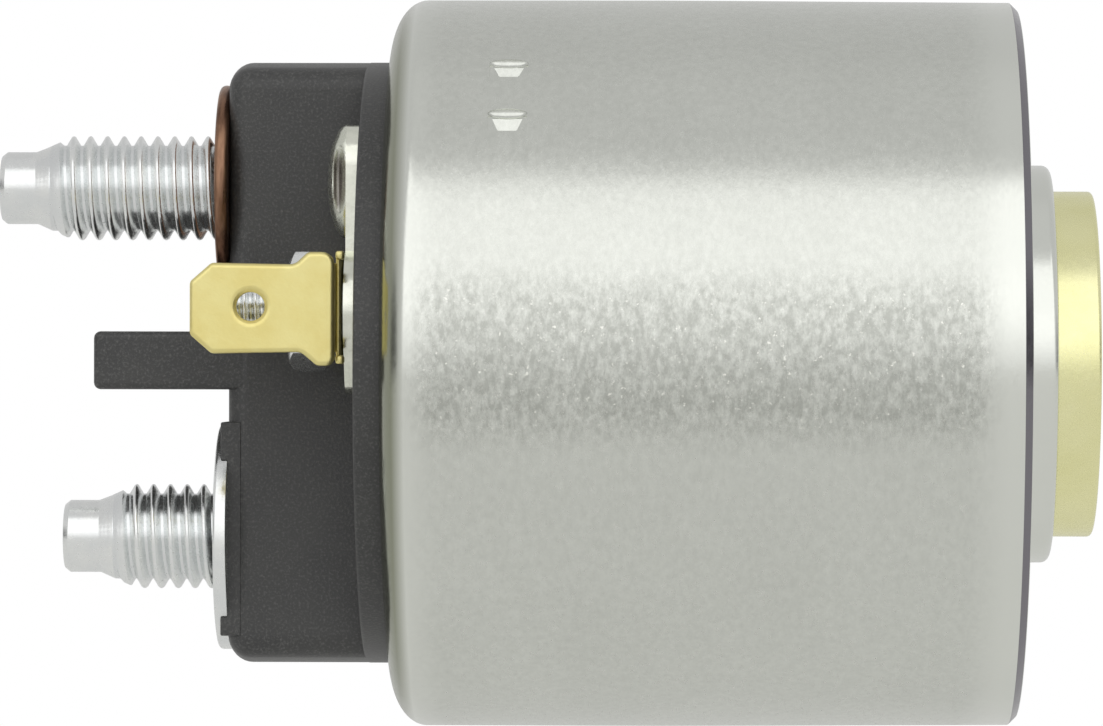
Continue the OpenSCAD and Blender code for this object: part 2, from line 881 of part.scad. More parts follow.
// Plate under the spade's foot, whose two tabs grip the strap's edges
module lock_plate() {
  wide = foot_w / 2;
  y_front = control_y - lock_front;
  color("darkkhaki")
    difference() {
      union() {
        translate([x_lock, y_front, control_z - wide])
          cube([lock_plate_t, lock_front + foot_in, 2 * wide]);
        for (z = [-wide, wide - lock_tab_w])
          translate([x_lock, y_front, control_z + z])
            cube([lock_plate_t + lock_tab_h, lock_tab_depth, lock_tab_w]);
      }
      at(control_y, control_z)
        round_bar(x_lock - cut, x_strap + cut, control_stud_d / 2 + stop_gap);
    }
}

module lead_strap() {
  z_top = control_z + strap_up;
  z_low = control_z - strap_down;
  r = strap_w / 2;
  color("gainsboro")
    difference() {
      union() {
        at(control_y, control_z)
          round_bar(x_strap, x_ledge, strap_lug_r);
        at(strap_y, z_top - r)
          round_bar(x_strap, x_ledge, r);
        at(control_y, z_low + r)
          round_bar(x_strap, x_ledge, r);
        translate([x_strap, strap_y - r, control_z])
          cube([strap_t, strap_w, strap_up - r]);
        translate([x_strap, control_y - r, z_low + r])
          cube([strap_t, strap_w, strap_down - r]);
      }
      at(control_y, control_z)
        round_bar(x_strap - cut, x_ledge + cut, control_stud_d / 2 + stop_gap);
      at(strap_y, control_lead_z)
        round_bar(x_strap - cut, x_ledge + cut, strap_hole_r);
    }
}

// Outline of a round segment on a chord, as points [across, height]
function segment(chord, height) =
  let (
    r = (pow(chord / 2, 2) + pow(height, 2)) / (2 * height),
    a = asin(chord / 2 / r)
  )
    arc([0, height - r], r, 90 - a, 90 + a, 12);

// Pillow shape where a segment along the strap meets one across it
module solder_joint() {
  color("whitesmoke")
    translate([x_strap, strap_y, control_lead_z])
      intersection() {
        along_y(-solder_w / 2, solder_w / 2)
          polygon([for (p = segment(solder_len, solder_h)) [-p[1], p[0]]]);
        along_z(-solder_len / 2, solder_len / 2)
          polygon([for (p = segment(solder_w, solder_h)) [-p[1], p[0]]]);
      }
}

module control_lead() {
  color("peru")
    at(strap_y, control_lead_z)
      round_bar(x_strap, x_wind_rear, lead_d / 2);
}

module motor_lead() {
  color("peru")
    at(motor_lead_y, motor_lead_z)
      round_bar(x_contact, x_wind_rear, lead_d / 2);
}

module ground_lead() {
  color("peru")
    at(ground_lead_y, 0)
      round_bar(x_pole, x_wind_rear, lead_d / 2);
}

case();
guide_sleeve();
fixed_core();
coil_bobbin();
pull_in_winding();
hold_in_winding();
winding_wrap();
anti_stick_shim();
plunger();
lever_pin();
plunger_return_spring();
push_rod();
spring_seat();
contact_spring();
bridge_bush();
contact_bridge();
bridge_washer();
rod_clip();
contact_return_spring();
terminal_cap();
cap_gasket();
battery_stud();
battery_washer();
motor_stud();
motor_washer();
control_stud();
control_nut();
spade_terminal();
lock_plate();
lead_strap();
solder_joint();
control_lead();
motor_lead();
ground_lead();
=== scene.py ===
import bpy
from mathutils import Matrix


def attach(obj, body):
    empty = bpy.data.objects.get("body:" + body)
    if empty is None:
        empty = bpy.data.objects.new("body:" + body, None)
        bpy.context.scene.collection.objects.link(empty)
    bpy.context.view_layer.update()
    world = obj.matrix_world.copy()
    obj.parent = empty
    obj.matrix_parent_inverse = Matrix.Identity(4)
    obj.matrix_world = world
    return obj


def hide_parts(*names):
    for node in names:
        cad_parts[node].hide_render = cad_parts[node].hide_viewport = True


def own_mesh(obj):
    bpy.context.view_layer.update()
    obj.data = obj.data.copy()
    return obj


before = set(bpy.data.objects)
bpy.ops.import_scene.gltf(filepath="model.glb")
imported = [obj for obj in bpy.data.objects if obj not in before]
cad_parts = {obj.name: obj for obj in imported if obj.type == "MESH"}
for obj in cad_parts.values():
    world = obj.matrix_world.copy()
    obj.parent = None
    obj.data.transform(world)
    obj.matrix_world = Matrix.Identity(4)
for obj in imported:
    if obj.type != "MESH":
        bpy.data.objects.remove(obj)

"""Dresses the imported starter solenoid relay: fine shapes, real finishes, soft light and the photo's camera.

Sizes are in millimetres in the classes below and become metres in the mesh helpers.
"""
import logging
import math
from collections.abc import Callable
from dataclasses import dataclass
from enum import Enum

import bmesh
import bpy
from bpy.types import Material, Node, NodeSocket, NodeTree, Object
from mathutils import Vector

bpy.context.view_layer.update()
LOG = logging.getLogger("relay")
MM = 0.001
# Points nearer than this, in metres, are one point
MERGE = 1e-7
# Points nearer than this to a plane, in millimetres, lie on it
NEAR = 0.01
# How far a cutter goes past a face, and past the sides of a piece
OVERRUN = 1.0
REACH = 20.0

Pair = tuple[float, float]
Triple = tuple[float, float, float]
Outline = list[Pair]


class Body(Enum):
    """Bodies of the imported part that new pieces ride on."""

    HOUSING = "housing"
    PLUNGER = "plunger"
    ROD = "contact_rod"


class Plane(Enum):
    """Planes that a flat outline is drawn in, each with where X, Y and Z stand in (across, up, along)."""

    XZ_ALONG_Y = (0, 2, 1)
    XY_ALONG_Z = (0, 1, 2)
    YZ_ALONG_X = (2, 0, 1)

    def place(self, across: float, up: float, along: float) -> Vector:
        """Returns the point at a place in the plane and a distance along its normal."""
        return mm(*((across, up, along)[i] for i in self.value))


class Carve(Enum):
    """What a carving tool does to a piece."""

    CUT = "DIFFERENCE"
    JOIN = "UNION"
    BOUND = "INTERSECT"


class Pattern(Enum):
    """Ways a surface was made that its fine relief follows."""

    GRAINED = "grained"
    TURNED = "turned"
    WOUND = "wound"


class WasherMetal(Enum):
    """Metals of the cable washers, each with the record's material slot."""

    COPPER = "copper"
    STEEL = "zinc_stud"


# Meshes, made with Blender's own operators


def mm(*values: float) -> Vector:
    """Returns a point or offset in metres, given in millimetres."""
    return Vector(values) * MM


def fillet(points: list[Triple], steps: int = 5, closed: bool = False) -> Outline:
    """Rounds the corners of an outline.

    Args:
        points: Corners as (x, height, corner radius).
        steps: Straight steps in each rounded corner.
        closed: Whether the last corner joins the first one.

    Returns:
        The outline's points, with an arc in place of each rounded corner.
    """
    made: Outline = []
    count = len(points)
    # The share of a side that one corner may use up
    most = 0.499
    for i, (x, y, r) in enumerate(points):
        corner = Vector((x, y))
        if r <= 0 or (not closed and i in (0, count - 1)):
            made.append((x, y))
            continue
        back = Vector(points[i - 1][:2]) - corner
        ahead = Vector(points[(i + 1) % count][:2]) - corner
        half = back.angle(ahead) / 2
        reach = min(r / math.tan(half), most * back.length, most * ahead.length)
        r = reach * math.tan(half)
        centre = corner + (back.normalized() + ahead.normalized()).normalized() * (r / math.sin(half))
        start = corner + back.normalized() * reach - centre
        end = corner + ahead.normalized() * reach - centre
        sweep = start.angle_signed(end)
        for k in range(steps + 1):
            a = -sweep * k / steps
            p = centre + Vector((start.x * math.cos(a) - start.y * math.sin(a),
                                 start.x * math.sin(a) + start.y * math.cos(a)))
            made.append((p.x, p.y))
    return made


def clear() -> None:
    """Leaves edit mode and deselects every object."""
    if bpy.context.object and bpy.context.object.mode != "OBJECT":
        bpy.ops.object.mode_set(mode="OBJECT")
    bpy.ops.object.select_all(action="DESELECT")


def pick(piece: Object) -> None:
    """Leaves edit mode, selects one piece alone and makes it the active one.

    Args:
        piece: The piece.
    """
    clear()
    piece.select_set(True)
    bpy.context.view_layer.objects.active = piece


def named(name: str) -> Object:
    """Names the piece that was just added.

    Args:
        name: Its name, which its mesh gets too.

    Returns:
        The piece.
    """
    piece = bpy.context.object
    piece.name = piece.data.name = name
    return piece


def settle() -> None:
    """Puts the place, turn and size of the selected piece into its mesh."""
    bpy.ops.object.transform_apply(location=True, rotation=True, scale=True)


def edit_all() -> None:
    """Opens the active piece in edit mode with everything selected."""
    bpy.ops.object.mode_set(mode="EDIT")
    bpy.ops.mesh.select_all(action="SELECT")


def face_outwards() -> None:
    """Turns every face of the edited piece outwards and goes back to object mode."""
    bpy.ops.mesh.select_all(action="SELECT")
    bpy.ops.mesh.normals_make_consistent(inside=False)
    bpy.ops.object.mode_set(mode="OBJECT")


def start_chain(name: str, points: list[Vector], closed: bool) -> Object:
    """Draws a chain of edges by extruding one vertex from point to point, and stays in edit mode.

    Args:
        name: Name of the new piece.
        points: The chain's points, in metres.
        closed: Whether the chain ends where it starts.

    Returns:
        The piece, with its whole chain selected.
    """
    clear()
    bpy.ops.mesh.primitive_plane_add(size=MM)
    piece = named(name)
    edit_all()
    bpy.ops.mesh.merge(type="CENTER")
    bpy.ops.transform.translate(value=points[0])
    route = points + points[:1] if closed else points
    for a, b in zip(route, route[1:]):
        bpy.ops.mesh.extrude_vertices_move(TRANSFORM_OT_translate={"value": b - a})
    bpy.ops.mesh.select_all(action="SELECT")
    if closed:
        bpy.ops.mesh.remove_doubles(threshold=MERGE)
    return piece


def smooth(piece: Object, angle: float = 32.0, flats: bool = False) -> Object:
    """Shades a piece smooth across its flatter edges.

    Args:
        piece: The piece.
        angle: Edges flatter than this, in degrees, are shaded smooth.
        flats: Whether large flat faces stay evenly flat up to their rounded edges.

    Returns:
        The same piece.
    """
    pick(piece)
    bpy.ops.object.shade_smooth_by_angle(angle=math.radians(angle))
    if flats:
        apply_modifier(piece, "WEIGHTED_NORMAL", {"mode": "FACE_AREA", "weight": 50, "keep_sharp": True})
    return piece


def turned(name: str, outline: Outline, centre: Pair = (0.0, 0.0), steps: int = 128,
           closed: bool = False) -> Object:
    """Turns an outline about a line along X, as on a lathe.

    Args:
        name: Name of the new piece.
        outline: Points as (station along X, radius).
        centre: Y and Z of the line.
        steps: Steps round the full turn.
        closed: Whether the outline is a closed loop, as for a ring.

    Returns:
        The turned piece, closed and with its faces outwards.
    """
    y, z = centre
    piece = start_chain(name, [mm(x, y, z + r) for x, r in outline], closed)
    bpy.ops.mesh.spin(steps=steps, angle=2 * math.pi, center=mm(0, y, z), axis=(1, 0, 0))
    bpy.ops.mesh.select_all(action="SELECT")
    bpy.ops.mesh.remove_doubles(threshold=MERGE)
    face_outwards()
    return smooth(piece)


def bar(name: str, centre: Pair, r: float, start: float, end: float, steps: int = 64) -> Object:
    """Makes a round bar along X between two stations."""
    return turned(name, [(start, 0.0), (start, r), (end, r), (end, 0.0)], centre, steps)


def extruded(name: str, outline: Outline, plane: Plane, start: float, end: float) -> Object:
    """Extrudes a flat outline into a closed slab.

    Args:
        name: Name of the new piece.
        outline: The outline's points in its plane.
        plane: The plane of the outline.
        start: Where the slab starts along the third axis.
        end: Where the slab ends along the third axis.

    Returns:
        The slab, with its faces outwards.
    """
    piece = start_chain(name, [plane.place(a, b, start) for a, b in outline], closed=True)
    bpy.ops.mesh.edge_face_add()
    bpy.ops.mesh.extrude_region_move(
        TRANSFORM_OT_translate={"value": plane.place(0, 0, end) - plane.place(0, 0, start)})
    face_outwards()
    return piece


def block(name: str, low: Triple, high: Triple, edge: float = 0.0, segments: int = 3) -> Object:
    """Makes a block between two corners.

    Args:
        name: Name of the new piece.
        low: Its low corner.
        high: Its high corner.
        edge: Radius of its edges, or 0 to leave them sharp.
        segments: Steps of each rounded edge.

    Returns:
        The block.
    """
    clear()
    size = [h - l for l, h in zip(low, high)]
    middle = [(l + h) / 2 for l, h in zip(low, high)]
    bpy.ops.mesh.primitive_cube_add(size=1, location=mm(*middle), scale=mm(*size))
    piece = named(name)
    settle()
    if edge:
        edit_all()
        bpy.ops.mesh.bevel(offset=edge * MM, segments=segments, affect="EDGES")
        bpy.ops.object.mode_set(mode="OBJECT")
    return piece


def ball(name: str, centre: Triple, half_size: Triple, segments: int, rings: int) -> Object:
    """Makes a ball that is stretched along X, Y and Z.

    Args:
        name: Name of the new piece.
        centre: Its middle.
        half_size: Its three radii.
        segments: Steps round it.
        rings: Steps from pole to pole.

    Returns:
        The ball.
    """
    clear()
    bpy.ops.mesh.primitive_uv_sphere_add(
        segments=segments, ring_count=rings, radius=1, location=mm(*centre), scale=mm(*half_size))
    piece = named(name)
    settle()
    return piece


def apply_modifier(piece: Object, kind: str, settings: dict[str, object]) -> None:
    """Adds one modifier and applies it.

    Args:
        piece: The piece.
        kind: The modifier's type.
        settings: Its settings by name.
    """
    pick(piece)
    modifier = piece.modifiers.new(kind.lower(), kind)
    for name, value in settings.items():
        setattr(modifier, name, value)
    bpy.ops.object.modifier_apply(modifier=modifier.name)


def carve(piece: Object, *tools: Object, how: Carve = Carve.CUT) -> None:
    """Cuts tools out of a piece, joins them to it, or keeps what they share.

    Args:
        piece: The piece that is changed.
        tools: Closed shapes, used up by the cut.
        how: What the tools do.
    """
    for tool in tools:
        apply_modifier(piece, "BOOLEAN", {"operation": how.value, "solver": "EXACT", "object": tool})
        bpy.data.objects.remove(tool, do_unlink=True)


def soften(piece: Object, width: float, segments: int = 3, angle: float = 40.0) -> Object:
    """Rounds the sharp edges of a piece.

    Args:
        piece: The piece.
        width: Width of the rounding.
        segments: Steps of the rounding.
        angle: Edges sharper than this, in degrees, are rounded.

    Returns:
        The same piece.
    """
    apply_modifier(piece, "BEVEL", {"width": width * MM, "segments": segments, "limit_method": "ANGLE",
                                    "angle_limit": math.radians(angle), "miter_outer": "MITER_ARC"})
    return piece


def edit_where(piece: Object, test: Callable[[Vector], bool], change: Callable[[], object]) -> None:
    """Runs one edit-mode operator on some vertices of a piece.

    Args:
        piece: The piece.
        test: Says of a vertex's place, in millimetres, whether it takes part.
        change: Runs the operator.
    """
    pick(piece)
    bpy.ops.object.mode_set(mode="EDIT")
    bpy.ops.mesh.select_all(action="DESELECT")
    mesh = bmesh.from_edit_mesh(piece.data)
    for vertex in mesh.verts:
        vertex.select_set(test(vertex.co / MM))
    mesh.select_flush(True)
    bmesh.update_edit_mesh(piece.data)
    change()
    bpy.ops.object.mode_set(mode="OBJECT")


def turn_about_x(piece: Object, degrees: float) -> Object:
    """Turns a piece's mesh about the X axis.

    Args:
        piece: The piece.
        degrees: The angle, from Y towards Z.

    Returns:
        The same piece.
    """
    pick(piece)
    piece.rotation_euler.x = math.radians(degrees)
    settle()
    return piece


def joined(piece: Object, other: Object) -> Object:
    """Joins another mesh into a piece.

    Args:
        piece: The piece.
        other: The mesh, used up by the join.

    Returns:
        The same piece.
    """
    pick(piece)
    other.select_set(True)
    bpy.ops.object.join()
    return piece


def wound(name: str, section: list[Vector], turns: float, rise: float, steps: int) -> Object:
    """Winds a closed section round X into a right-handed helix with closed ends.

    Args:
        name: Name of the new piece.
        section: The section's points in the XZ plane, in metres.
        turns: Turns of the helix.
        rise: Advance along X over all the turns, in millimetres.
        steps: Steps in each turn.

    Returns:
        The helix, with its faces outwards.
    """
    piece = start_chain(name, section, closed=True)
    bpy.ops.object.mode_set(mode="OBJECT")
    apply_modifier(piece, "SCREW", {
        "axis": "X", "angle": 2 * math.pi * turns, "screw_offset": rise * MM, "iterations": 1,
        "steps": round(steps * turns), "render_steps": round(steps * turns), "use_merge_vertices": False,
    })
    edit_all()
    bpy.ops.mesh.fill_holes(sides=0)
    face_outwards()
    return piece


def coil(name: str, start: float, length: float, ends_r: Pair, wire_r: float, turns: float) -> Object:
    """Winds a coil spring of round wire along X.

    Args:
        name: Name of the new piece.
        start: Station where the spring starts.
        length: Its length at rest.
        ends_r: Mean radius at its start and at its end.
        wire_r: Radius of the wire.
        turns: Number of turns.

    Returns:
        The spring.
    """
    sides, steps = 12, 36
    first_r, last_r = ends_r
    section = [mm(start + wire_r + wire_r * math.cos(a), 0, first_r + wire_r * math.sin(a))
               for a in (2 * math.pi * k / sides for k in range(sides))]
    spring = wound(name, section, turns, length - 2 * wire_r, steps)
    if first_r != last_r:
        for index, vertex in enumerate(spring.data.vertices):
            share = (index // sides) / round(steps * turns)
            arm = Vector((0, vertex.co.y, vertex.co.z))
            vertex.co += arm.normalized() * (last_r - first_r) * share * MM
    return smooth(spring, 60)


def thread(name: str, centre: Pair, first_crest: float, turns: float, pitch: float, radii: Pair,
           cone: Triple) -> Object:
    """Makes the ridge of a rolled right-hand thread, which fades out at both ends.

    Args:
        name: Name of the new piece.
        centre: Y and Z of the thread's axis.
        first_crest: Station of the crest nearest the tip, on the top side.
        turns: Turns of the thread.
        pitch: Advance of one turn.
        radii: Radius of the root and of the crest.
        cone: The tip's cone that holds the ridge down, as its first station, its radius there, and the
            radius that it gains for each millimetre.

    Returns:
        The ridge, closed at both ends.
    """
    # The ridge's rounded top, as shares of the pitch from its middle and of its height from the crest
    top = ((0.185, 0.3), (0.115, 0.09), (0.04, 0.0))
    # Its foot, and how far that stands out and down into the stud
    foot, skirt, sink = 0.42 * pitch, 0.04, 0.15
    # Turns over which the ridge fades in and out, and how deep a faded ridge goes at most
    fade_in, fade_out, deepest = 0.2, 0.5, 0.6
    steps = 48
    root_r, crest_r = radii
    cone_x, cone_r, cone_slope = cone
    flank = [(foot + skirt, root_r - sink), (foot, root_r)]
    flank += [(aside * pitch, crest_r - down * (crest_r - root_r)) for aside, down in top]
    section = [(-x, r) for x, r in flank] + flank[::-1]
    ridge = wound(name, [mm(first_crest + x, 0, r) for x, r in section], turns, turns * pitch, steps)
    rings = round(steps * turns)
    y, z = mm(*centre)
    for index, vertex in enumerate(ridge.data.vertices):
        ring = index // len(section)
        r = math.hypot(vertex.co.y, vertex.co.z) / MM
        fade = min(1.0, ring / (fade_in * steps), (rings - ring) / (fade_out * steps))
        allowed = min(r, cone_r + cone_slope * (vertex.co.x / MM - cone_x),
                      root_r - sink + (crest_r - root_r + sink) * fade)
        scale = max(allowed, root_r - deepest) / r
        vertex.co = (vertex.co.x, y + vertex.co.y * scale, z + vertex.co.z * scale)
    return ridge


def hand_in(piece: Object, body: Body, slot: str, finish: Material, *nodes: str) -> None:
    """Dresses a finished piece, ties it to its body and hides the CAD nodes that it stands for.

    Args:
        piece: The finished piece.
        body: The body that it moves with.
        slot: The record's material slot; not used.
        finish: The material of the whole piece.
        nodes: Names of the CAD nodes that it replaces.
    """
    piece.data.materials.clear()
    piece.data.materials.append(finish)
    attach(piece, body.value)
    if nodes:
        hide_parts(*nodes)
    LOG.info("%s: %d faces on %s", piece.name, len(piece.data.polygons), body.value)


def dress_nodes(finish: Material, *names: str) -> None:
    """Gives carried-over CAD nodes their finish.

    Args:
        finish: The material.
        names: Names of the nodes.
    """
    for name in names:
        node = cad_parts[name]
        for slot in node.material_slots:
            slot.material = finish
        if not node.material_slots:
            node.data.materials.append(finish)
        LOG.info("%s: CAD node dressed", name)


# Shader nodes


def linear(hex_colour: str) -> tuple[float, float, float, float]:
    """Turns an sRGB hex colour into Blender's linear one.

    Args:
        hex_colour: Six hex digits.

    Returns:
        Red, green, blue and a full alpha.
    """
    parts = [int(hex_colour[i:i + 2], 16) / 255 for i in (0, 2, 4)]
    made = [c / 12.92 if c <= 0.04045 else ((c + 0.055) / 1.055) ** 2.4 for c in parts]
    return made[0], made[1], made[2], 1.0


def add_node(tree: NodeTree, kind: str, settings: dict[str, object] | None = None,
             inputs: dict[str | int, object] | None = None) -> Node:
    """Adds one shader node.

    Args:
        tree: The node tree.
        kind: The node's type.
        settings: Its options by name.
        inputs: Its sockets by name or number, each with a constant or with the socket that feeds it.

    Returns:
        The new node.
    """
    made = tree.nodes.new(kind)
    for name, value in (settings or {}).items():
        setattr(made, name, value)
    for name, value in (inputs or {}).items():
        if isinstance(value, NodeSocket):
            tree.links.new(value, made.inputs[name])
        else:
            made.inputs[name].default_value = value
    return made


def calc(tree: NodeTree, operation: str, *values: NodeSocket | float) -> NodeSocket:
    """Returns the result of one mathematical operation."""
    return add_node(tree, "ShaderNodeMath", {"operation": operation}, dict(enumerate(values))).outputs[0]


def product(tree: NodeTree, first: NodeSocket, *factors: NodeSocket | float) -> NodeSocket:
    """Multiplies sockets and numbers.

    Args:
        tree: The node tree.
        first: The first factor.
        factors: The others.

    Returns:
        The product.
    """
    for factor in factors:
        first = calc(tree, "MULTIPLY", first, factor)
    return first


def ranged(tree: NodeTree, value: NodeSocket, low: float, high: float, to_low: float = 0.0,
           to_high: float = 1.0, soft: bool = False) -> NodeSocket:
    """Turns one range of values into another, and holds what lies outside at its ends.

    Args:
        tree: The node tree.
        value: The value.
        low: The value that becomes to_low.
        high: The value that becomes to_high.
        to_low: The result at low.
        to_high: The result at high.
        soft: Whether the change starts and ends gently.

    Returns:
        The result.
    """
    return add_node(tree, "ShaderNodeMapRange", {"interpolation_type": "SMOOTHSTEP" if soft else "LINEAR"}, {
        "Value": value, "From Min": low, "From Max": high, "To Min": to_low, "To Max": to_high}).outputs[0]


def mixed(tree: NodeTree, share: NodeSocket, under: object, over: object) -> NodeSocket:
    """Returns one colour laid over another by a share."""
    return add_node(tree, "ShaderNodeMix", {"data_type": "RGBA"}, {0: share, 6: under, 7: over}).outputs[2]


def noise(tree: NodeTree, place: NodeSocket, scale: float, detail: float, roughness: float) -> NodeSocket:
    """Returns a cloudy pattern."""
    return add_node(tree, "ShaderNodeTexNoise", inputs={
        "Vector": place, "Scale": scale, "Detail": detail, "Roughness": roughness}).outputs[0]


def parts_of(tree: NodeTree, place: NodeSocket) -> tuple[NodeSocket, NodeSocket, NodeSocket]:
    """Returns the X, Y and Z of a place."""
    made = add_node(tree, "ShaderNodeSeparateXYZ", inputs={0: place})
    return made.outputs[0], made.outputs[1], made.outputs[2]


def vector_of(tree: NodeTree, x: NodeSocket | float, y: NodeSocket, z: NodeSocket) -> NodeSocket:
    """Returns the vector that three parts make."""
    return add_node(tree, "ShaderNodeCombineXYZ", inputs={0: x, 1: y, 2: z}).outputs[0]


def length_of(tree: NodeTree, vector: NodeSocket) -> NodeSocket:
    """Returns the length of a vector."""
    return add_node(tree, "ShaderNodeVectorMath", {"operation": "LENGTH"}, {0: vector}).outputs["Value"]


# Finishes


@dataclass(frozen=True)
class Cloud:
    """Noise cut to the part of its values between low and high, which become a share from 0 to 1."""

    scale: float
    detail: float
    roughness: float
    low: float
    high: float

    def share(self, tree: NodeTree, place: NodeSocket) -> NodeSocket:
        """Returns the share at a place."""
        return ranged(tree, noise(tree, place, self.scale, self.detail, self.roughness), self.low, self.high)


@dataclass(frozen=True)
class Finish:
    """A real surface: its colours, its gloss, and the relief that its making left.

    The grain and patch sizes are in millimetres. No grain here is finer than 0.2 mm, because a
    smaller one doesn't show in the picture.
    """

    name: str
    colour: str
    shade: str
    metallic: float
    gloss: Pair
    grain: float
    patch: float
    relief: float
    pattern: Pattern = Pattern.GRAINED
    pitch: float = 0.5
    pitch_relief: float = 0.0
    centre: Pair = (0.0, 0.0)
    unrolled_r: float = 0.0
    round_stretch: float = 1.0
    ior: float = 1.5

    def tint(self, tree: NodeTree, place: NodeSocket, colour: NodeSocket) -> NodeSocket:
        """Returns the colour, for finishes that add nothing to it."""
        return colour

    def dull(self, tree: NodeTree, place: NodeSocket, gloss: NodeSocket) -> NodeSocket:
        """Returns the roughness, for finishes that are alike all over."""
        return gloss

    def press(self, tree: NodeTree, place: NodeSocket) -> NodeSocket | float:
        """Returns how strongly the grain stands out, for finishes that are alike all over."""
        return 1.0

    def build(self) -> Material:
        """Builds the node material.

        Returns:
            The material, named for the real finish.
        """
        material = bpy.data.materials.new(self.name)
        material.use_nodes = True
        tree = material.node_tree
        tree.nodes.clear()
        coords = add_node(tree, "ShaderNodeTexCoord")
        place = add_node(tree, "ShaderNodeMapping", inputs={
            "Vector": coords.outputs["Object"], "Location": (0, -self.centre[0], -self.centre[1]),
            "Scale": (1 / MM, 1 / MM, 1 / MM)}).outputs[0]
        along = self.unroll(tree, place) if self.unrolled_r else place
        patches = Cloud(1 / self.patch, detail=4.0, roughness=0.6, low=0.38, high=0.66)
        colour = mixed(tree, patches.share(tree, along), linear(self.colour), linear(self.shade))
        grain = noise(tree, along, 1 / self.grain, detail=3.0, roughness=0.65)
        # Noise keeps nearly all of its values between these two
        least, most = 0.3, 0.7
        gloss = ranged(tree, grain, least, most, *self.gloss)
        bump = add_node(tree, "ShaderNodeBump", inputs={
            "Height": grain, "Strength": self.press(tree, place), "Distance": self.relief * MM})
        if self.pitch_relief:
            bump = self.add_lines(tree, place, bump)
        shader = add_node(tree, "ShaderNodeBsdfPrincipled", inputs={
            "Base Color": self.tint(tree, place, colour), "Metallic": self.metallic, "IOR": self.ior,
            "Roughness": self.dull(tree, place, gloss), "Normal": bump.outputs[0]})
        add_node(tree, "ShaderNodeOutputMaterial", inputs={"Surface": shader.outputs[0]})
        return material

    def unroll(self, tree: NodeTree, place: NodeSocket) -> NodeSocket:
        """Rolls the place off a cylinder about X, so that the grain can be drawn out round it.

        Args:
            tree: The node tree.
            place: Object coordinates in millimetres.

        Returns:
            The station, the shortened way round, and the radius.
        """
        x, y, z = parts_of(tree, place)
        angle = calc(tree, "ARCTAN2", z, product(tree, y, -1.0))
        way = product(tree, angle, self.unrolled_r / self.round_stretch)
        return vector_of(tree, x, way, self.radius(tree, y, z))

    def radius(self, tree: NodeTree, y: NodeSocket, z: NodeSocket) -> NodeSocket:
        """Returns the distance from the axis."""
        return length_of(tree, vector_of(tree, 0.0, y, z))

    def add_lines(self, tree: NodeTree, place: NodeSocket, under: Node) -> Node:
        """Adds the regular lines of turning or winding over the grain.

        Args:
            tree: The node tree.
            place: Object coordinates in millimetres.
            under: The bump node of the grain.

        Returns:
            The bump node that holds both.
        """
        bands = {"wave_type": "BANDS", "bands_direction": "X"}
        rings = {"wave_type": "RINGS", "rings_direction": "X"}
        # A wave of scale 1 has its crests pi / 10 apart
        scale = math.pi / 10 / self.pitch
        for settings in [bands] if self.pattern is Pattern.WOUND else [bands, rings]:
            wave = add_node(tree, "ShaderNodeTexWave", settings, {
                "Vector": place, "Scale": scale, "Distortion": 0.4, "Detail": 1.0})
            under = add_node(tree, "ShaderNodeBump", inputs={
                "Height": wave.outputs["Fac"], "Strength": 1.0, "Distance": self.pitch_relief * MM,
                "Normal": under.outputs[0]})
        return under


